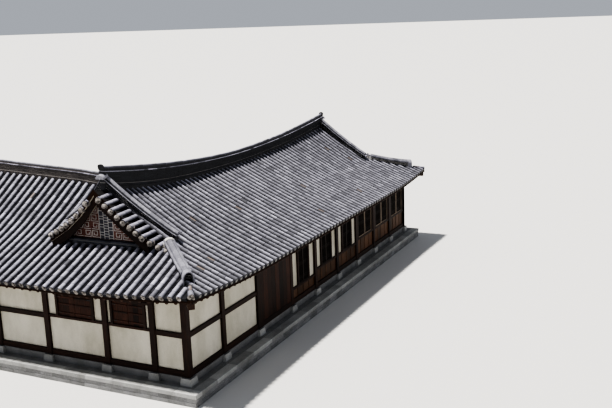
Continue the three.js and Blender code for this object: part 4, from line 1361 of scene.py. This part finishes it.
def walls():
    """The six outer walls, each with its bays' widths and what fills them. None is a plain bay."""
    w, e = WEST_EAVE + OVERHANG, EAST_EAVE - OVERHANG
    s, n = SOUTH_EAVE + OVERHANG, NORTH_EAVE - OVERHANG
    x, y = INNER_X - OVERHANG, INNER_Y - OVERHANG
    small = window(1.54, 1.40, "plank")
    tall = window(0.87, 1.00, "light")
    front = [None] * 3 + [window(0.68, 0.95, "lattice", True)]
    front += [window(0.87, 1.00, "lattice", True)] * 2 + [window(1.00, 1.80, "light", True)] * 3
    front_bays = (2.25, 2.60, 2.85, 2.40, 2.40, 2.40, 2.35, 2.35, 2.35)
    west = [None, window(1.54, 1.30, "plank"), window(1.54, 1.52, "plank"), None, small, small, None]
    west_bays = (1.30, 2.00, 2.65, 2.40, 2.40, 2.40, 2.40)
    rear = [None] + [tall] * 4 + [None]
    rear_bays = (1.75, 2.40, 2.40, 2.35, 2.35, 2.35)
    return {
        "front": Wall(lambda a, t: (a, s - t), w, front_bays, front, TIMBER_X),
        "west": Wall(lambda a, t: (w - t, a), s, west_bays, west, TIMBER_Y),
        "rear": Wall(lambda a, t: (a, y + t), x, rear_bays, rear, TIMBER_X),
        "far_end": Wall(lambda a, t: (e + t, a), s, (3.30, 2.65, 2.40), [small, small, None], TIMBER_Y),
        "wing_inner": Wall(lambda a, t: (x + t, a), y, (2.40, 2.40, 2.40), [tall, tall, None], TIMBER_Y),
        "wing_end": Wall(lambda a, t: (a, n + t), w, (2.90, 2.55, 2.90), [None, small, None], TIMBER_X),
    }


DOOR_BAY = 2
PROUD = 0.004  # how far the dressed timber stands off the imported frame
RAIL_FRONT = 0.085 + PROUD  # the rails' face, out from the wall's middle line
GAP = 0.006  # between a leaf or a board and the timber round it


def add_wall(name, wall, done):
    """Posts and rails of one wall. Walls share their corner posts."""
    posts, rails = Shape(), Shape()
    half = WALL_HALF + PROUD
    for s, free in wall.corners(done):
        tone = rng.random()
        if free:
            low, high = FOOT + 0.002, PLATE_BOTTOM - 0.002
            wall.box(posts, s - half, -half, low, s + half, half, high, tone, 0.012)
    for k, (a, b, fill) in enumerate(wall.bays()):
        a, b = a + half - 0.01, b - half + 0.01
        if name == "front" and k == DOOR_BAY:
            continue

        def rail(top, height):
            low, high = top - height - PROUD, top + PROUD
            wall.box(rails, a, 0.0, low, b, RAIL_FRONT, high, rng.random(), 0.008)

        rail(SILL_TOP, SILL_TOP - FOOT - 0.01)
        rail(PLATE_BOTTOM - 0.004, HEAD_RAIL)
        if fill is None:
            rail(MID_RAIL, RAIL_HEIGHT)
            continue
        rail(fill["low"], JAMB)
        rail(WINDOW_HEAD + JAMB, JAMB)
        for side in (-1, 1):
            edge = (a + b) / 2 + side * fill["width"] / 2
            s0, s1 = edge - side * PROUD, edge + side * (JAMB + PROUD)
            low, high = fill["low"] - 0.01, WINDOW_HEAD + 0.01
            wall.box(posts, s0, 0.0, low, s1, RAIL_FRONT, high, rng.random(), 0.006)
    posts.piece(name + "_posts", TIMBER, "timber")
    rails.piece(name + "_rails", wall.grain, "timber")


def add_windows(name, wall):
    """Frames, bars, paper and boards in each window, and the boarding under it."""
    wood, pale, paper, panels, metal = Shape(), Shape(), Shape(), Shape(), Shape()
    for a, b, fill in wall.bays():
        if fill is None:
            continue
        middle, reach = (a + b) / 2, fill["width"] / 2 - 0.004
        z0, z1 = fill["low"] + GAP, WINDOW_HEAD - GAP
        for leaf in (-1, 1):
            s0, s1 = sorted((middle + leaf * 0.004, middle + leaf * reach))
            if fill["style"] == "plank":
                plank_leaf(wall, wood, metal, s0, s1, z0, z1, leaf)
            elif fill["style"] == "light":
                lattice_leaf(wall, pale, wood, paper, s0, s1, z0, z1)
            else:
                lattice_leaf(wall, wood, wood, None, s0, s1, z0, z1)
        if fill["boarded"]:
            sill_boards(wall, panels, a + 0.11, b - 0.11, SILL_TOP + GAP, fill["low"] - JAMB - GAP)
    for shape, label, material, slot in (
        (wood, "shutters", SCREEN if name == "front" else PLANK, "timber"),
        (pale, "lattices", PALE_WOOD, "timber"),
        (paper, "window_paper", PAPER, "plaster"),
        (panels, "sill_boards", PANEL, "timber"),
        (metal, "window_straps", IRON, "timber"),
    ):
        if shape.verts:
            shape.piece(name + "_" + label, material, slot)


def plank_leaf(wall, wood, metal, s0, s1, z0, z1, leaf):
    """A shutter of upright boards, with three battens and two iron straps."""
    boards, gap = 3, 0.0015
    width = (s1 - s0) / boards
    for k in range(boards):
        a, b = s0 + k * width + gap, s0 + (k + 1) * width - gap
        wall.box(wood, a, 0.021, z0, b, 0.046, z1, rng.random(), 0.003)
    for z in (z0 + 0.09, (z0 + z1) / 2, z1 - 0.15):
        wall.box(wood, s0 + 0.01, 0.044, z, s1 - 0.01, 0.064, z + 0.06, rng.random(), 0.004)
    hinge = s0 if leaf < 0 else s1
    for z in (z0 + 0.11, z1 - 0.13):
        wall.box(metal, hinge, 0.064, z, hinge - leaf * 0.16, 0.068, z + 0.022)


def lattice_leaf(wall, shape, bars_shape, paper, s0, s1, z0, z1):
    """A leaf with a frame, upright bars and three groups of level bars, over paper where it has any."""
    stile = 0.045
    a, b, low, high = s0 + stile, s1 - stile, z0 + stile, z1 - stile
    for left, right in ((s0, a), (b, s1)):
        wall.box(shape, left, 0.022, z0, right, 0.060, z1, rng.random(), 0.004)
    for z in (z0, high):
        wall.box(shape, a, 0.022, z, b, 0.060, z + stile, rng.random(), 0.004)
    bars = max(3, round((b - a) / 0.062))
    for k in range(1, bars):
        s = a + k * (b - a) / bars
        wall.box(bars_shape, s - 0.007, 0.030, low, s + 0.007, 0.052, high, rng.random())
    for group in (0.12, 0.5, 0.88):
        for step in (-1, 0, 1):
            z = low + (high - low) * group + step * 0.055
            wall.box(bars_shape, a, 0.033, z - 0.006, b, 0.049, z + 0.006, rng.random())
    if paper:
        wall.box(paper, a - 0.004, 0.0215, low - 0.004, b + 0.004, 0.0245, high + 0.004)


def sill_boards(wall, shape, s0, s1, z0, z1):
    """Framed boards under a window: stiles with sunk boards between them."""
    fields, half = 4, 0.035
    width = (s1 - s0) / fields
    for k in range(fields + 1):
        s = s0 + k * width
        wall.box(shape, max(s0, s - half), 0.014, z0, min(s1, s + half), 0.050, z1, rng.random(), 0.004)
    for k in range(fields):
        a, b = s0 + k * width + 0.033, s0 + (k + 1) * width - 0.033
        wall.box(shape, a, 0.014, z0, b, 0.032, z1, rng.random())


# Doors of upright planks, on battens


def add_doors():
    for side, outer in (("left", -1), ("right", 1)):
        node = "door_leaf_" + side
        low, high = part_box(node)
        boards, battens, iron = Shape(), Shape(), Shape()
        count = 4
        width = (high.x - low.x) / count
        z0, z1 = low.z + 0.025, high.z - 0.025
        face, back = low.y, high.y
        for k in range(count):
            x = low.x + k * width
            low_corner, high_corner = (x + 0.002, face + 0.002, z0), (x + width - 0.002, back - 0.016, z1)
            boards.box(low_corner, high_corner, rng.random(), 0.006)
        for z in (z0 + 0.22, (z0 + z1) / 2 - 0.04, z1 - 0.32):
            battens.box((low.x + 0.03, back - 0.018, z), (high.x - 0.03, back, z + 0.09), rng.random(), 0.004)
            for k in range(count):
                for dz in (0.028, 0.062):
                    nail(iron, Vector((low.x + (k + 0.5) * width, face + 0.002, z + dz)))
        hinge_x, ring_x = low.x + 0.025, high.x - 0.10
        if outer > 0:
            hinge_x, ring_x = high.x - 0.025, low.x + 0.10
        middle = (face + back) / 2
        battens.tube(Vector((hinge_x, middle, low.z)), Vector((hinge_x, middle, high.z)), 0.018, 12, 0.4)
        door_ring(iron, Vector((ring_x, face + 0.004, (z0 + z1) / 2 + 0.16)))
        body = side + "_door"
        boards.piece(side + "_door_boards", PLANK, "door_planks", body, (node,))
        battens.piece(side + "_door_battens", TIMBER_X, "door_planks", body)
        iron.piece(side + "_door_iron", IRON, "door_planks", body)


def nail(shape, at):
    """A low six-sided nail head."""
    n, radius, height = 6, 0.011, 0.004
    rim = [at + Vector((math.cos(a) * radius, 0, math.sin(a) * radius)) for a in turns(n)]
    foot = [v + Vector((0, height, 0)) for v in rim]
    faces = [[a, b, 2 * n] for a, b in around(n)] + [[b, a, n + a, n + b] for a, b in around(n)]
    faces.append(list(range(2 * n - 1, n - 1, -1)))
    shape.add(rim + foot + [at], faces)


def door_ring(shape, at):
    """A pull ring of round bar, hanging flat against the door."""
    count, sides, ring, bar = 20, 6, 0.055, 0.0055
    verts = []
    for a in turns(count):
        centre = at + Vector((math.cos(a) * ring, 0.001, math.sin(a) * ring - ring))
        outward = Vector((math.cos(a), 0, math.sin(a)))
        for b in turns(sides):
            verts.append(centre + outward * math.cos(b) * bar + Vector((0, 1, 0)) * math.sin(b) * bar)
    faces = []
    for i, j in around(count):
        faces += [[i * sides + k, i * sides + m, j * sides + m, j * sides + k] for k, m in around(sides)]
    shape.add(verts, faces, 0.5, True)


# Plinth: dressed blocks and cap stones, with a base stone under each post


def ring_of_plinth():
    low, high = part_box("stone_plinth")
    inner_x, inner_y = INNER_X - OVERHANG + 0.7, INNER_Y - OVERHANG + 0.7
    corners = (
        (low.x, low.y),
        (high.x, low.y),
        (high.x, inner_y),
        (inner_x, inner_y),
        (inner_x, high.y),
        (low.x, high.y),
    )
    return [Vector(corner) for corner in corners]


def add_plinth():
    blocks, caps = Shape(), Shape()
    corners = ring_of_plinth()
    for k, a in enumerate(corners):
        b = corners[(k + 1) % len(corners)]
        go = (b - a).normalized()
        out = Vector((go.y, -go.x))
        length = (b - a).length
        before = (a - corners[k - 1]).normalized()
        turns_out = before.cross(go) > 0
        after = (corners[(k + 2) % len(corners)] - b).normalized()
        ends_out = go.cross(after) > 0
        for shape, z0, z1, long, proud, deep in (
            (blocks, 0.0, 0.145, 0.55, 0.012, 0.12),
            (blocks, 0.148, 0.295, 0.62, 0.006, 0.12),
            (caps, 0.298, PLINTH_TOP + 0.006, 1.15, 0.03, 0.34),
        ):
            start = deep if turns_out else 0.0
            end = length + (proud if ends_out else 0.0)
            stone_course(shape, a + go * start, go, out, end - start, z0, z1, long, proud, deep)
    blocks.piece("plinth_blocks", STONE, "stone")
    caps.piece("plinth_cap_stones", STONE_PALE, "stone")


def stone_course(shape, start, go, out, length, z0, z1, long, proud, deep):
    """One course of stones of uneven lengths, long on the average."""
    at = 0.0
    while at < length - 0.05:
        step = long * rng.uniform(0.75, 1.25)
        if length - at - step < long * 0.5:
            step = length - at
        a = start + go * (at + 0.004) + out * (proud + rng.uniform(-0.004, 0.004))
        b = start + go * (at + step - 0.004) - out * deep
        shape.box((*a, z0), (*b, z1), rng.random(), 0.012)
        at += step


def add_base_stones(house_walls):
    stones = Shape()
    done = set()
    for wall in house_walls.values():
        for s, free in wall.corners(done):
            if free:
                base_stone(stones, *wall.plan(s, 0.0))
    stones.piece("base_stones", STONE_PALE, "stone")


def base_stone(shape, x, y):
    """A squat stone, a little wider at its foot."""
    turn = rng.uniform(-0.006, 0.006)
    rings = []
    top = FOOT - 0.002
    for half, z in ((0.225, PLINTH_TOP), (0.215, PLINTH_TOP + 0.10), (0.198, FOOT - 0.03), (0.192, top)):
        rings.append([Vector((x + turn + half * a, y + turn + half * b, z)) for a, b in SQUARE])
    shape.pile(rings, rng.random())


add_camera()
add_stage()
add_roof_beds()
for slope_name, slope_facts in SLOPES.items():
    tile_slope(slope_name, slope_facts)
add_ridges()
add_corner_tiles()
add_verge_tiles()
add_gables()
add_rafters()
add_hip_rafters()
all_walls = walls()
posts_made = set()
for wall_name, wall_facts in all_walls.items():
    add_wall(wall_name, wall_facts, posts_made)
    add_windows(wall_name, wall_facts)
add_doors()
add_plinth()
add_base_stones(all_walls)

CAD_MATERIALS = {
    "tile": RIDGE_TILE,
    "brick": RED_BRICK,
    "timber": TIMBER,
    "door_planks": PLANK,
    "plaster": PLASTER,
    "stone": STONE,
    "floor_boards": PANEL,
}
for part in frame["record"]["subparts"]:
    if part["node"] not in ROOFS:
        nodes[part["node"]].material_slots[0].material = CAD_MATERIALS[part["material_slot"]]
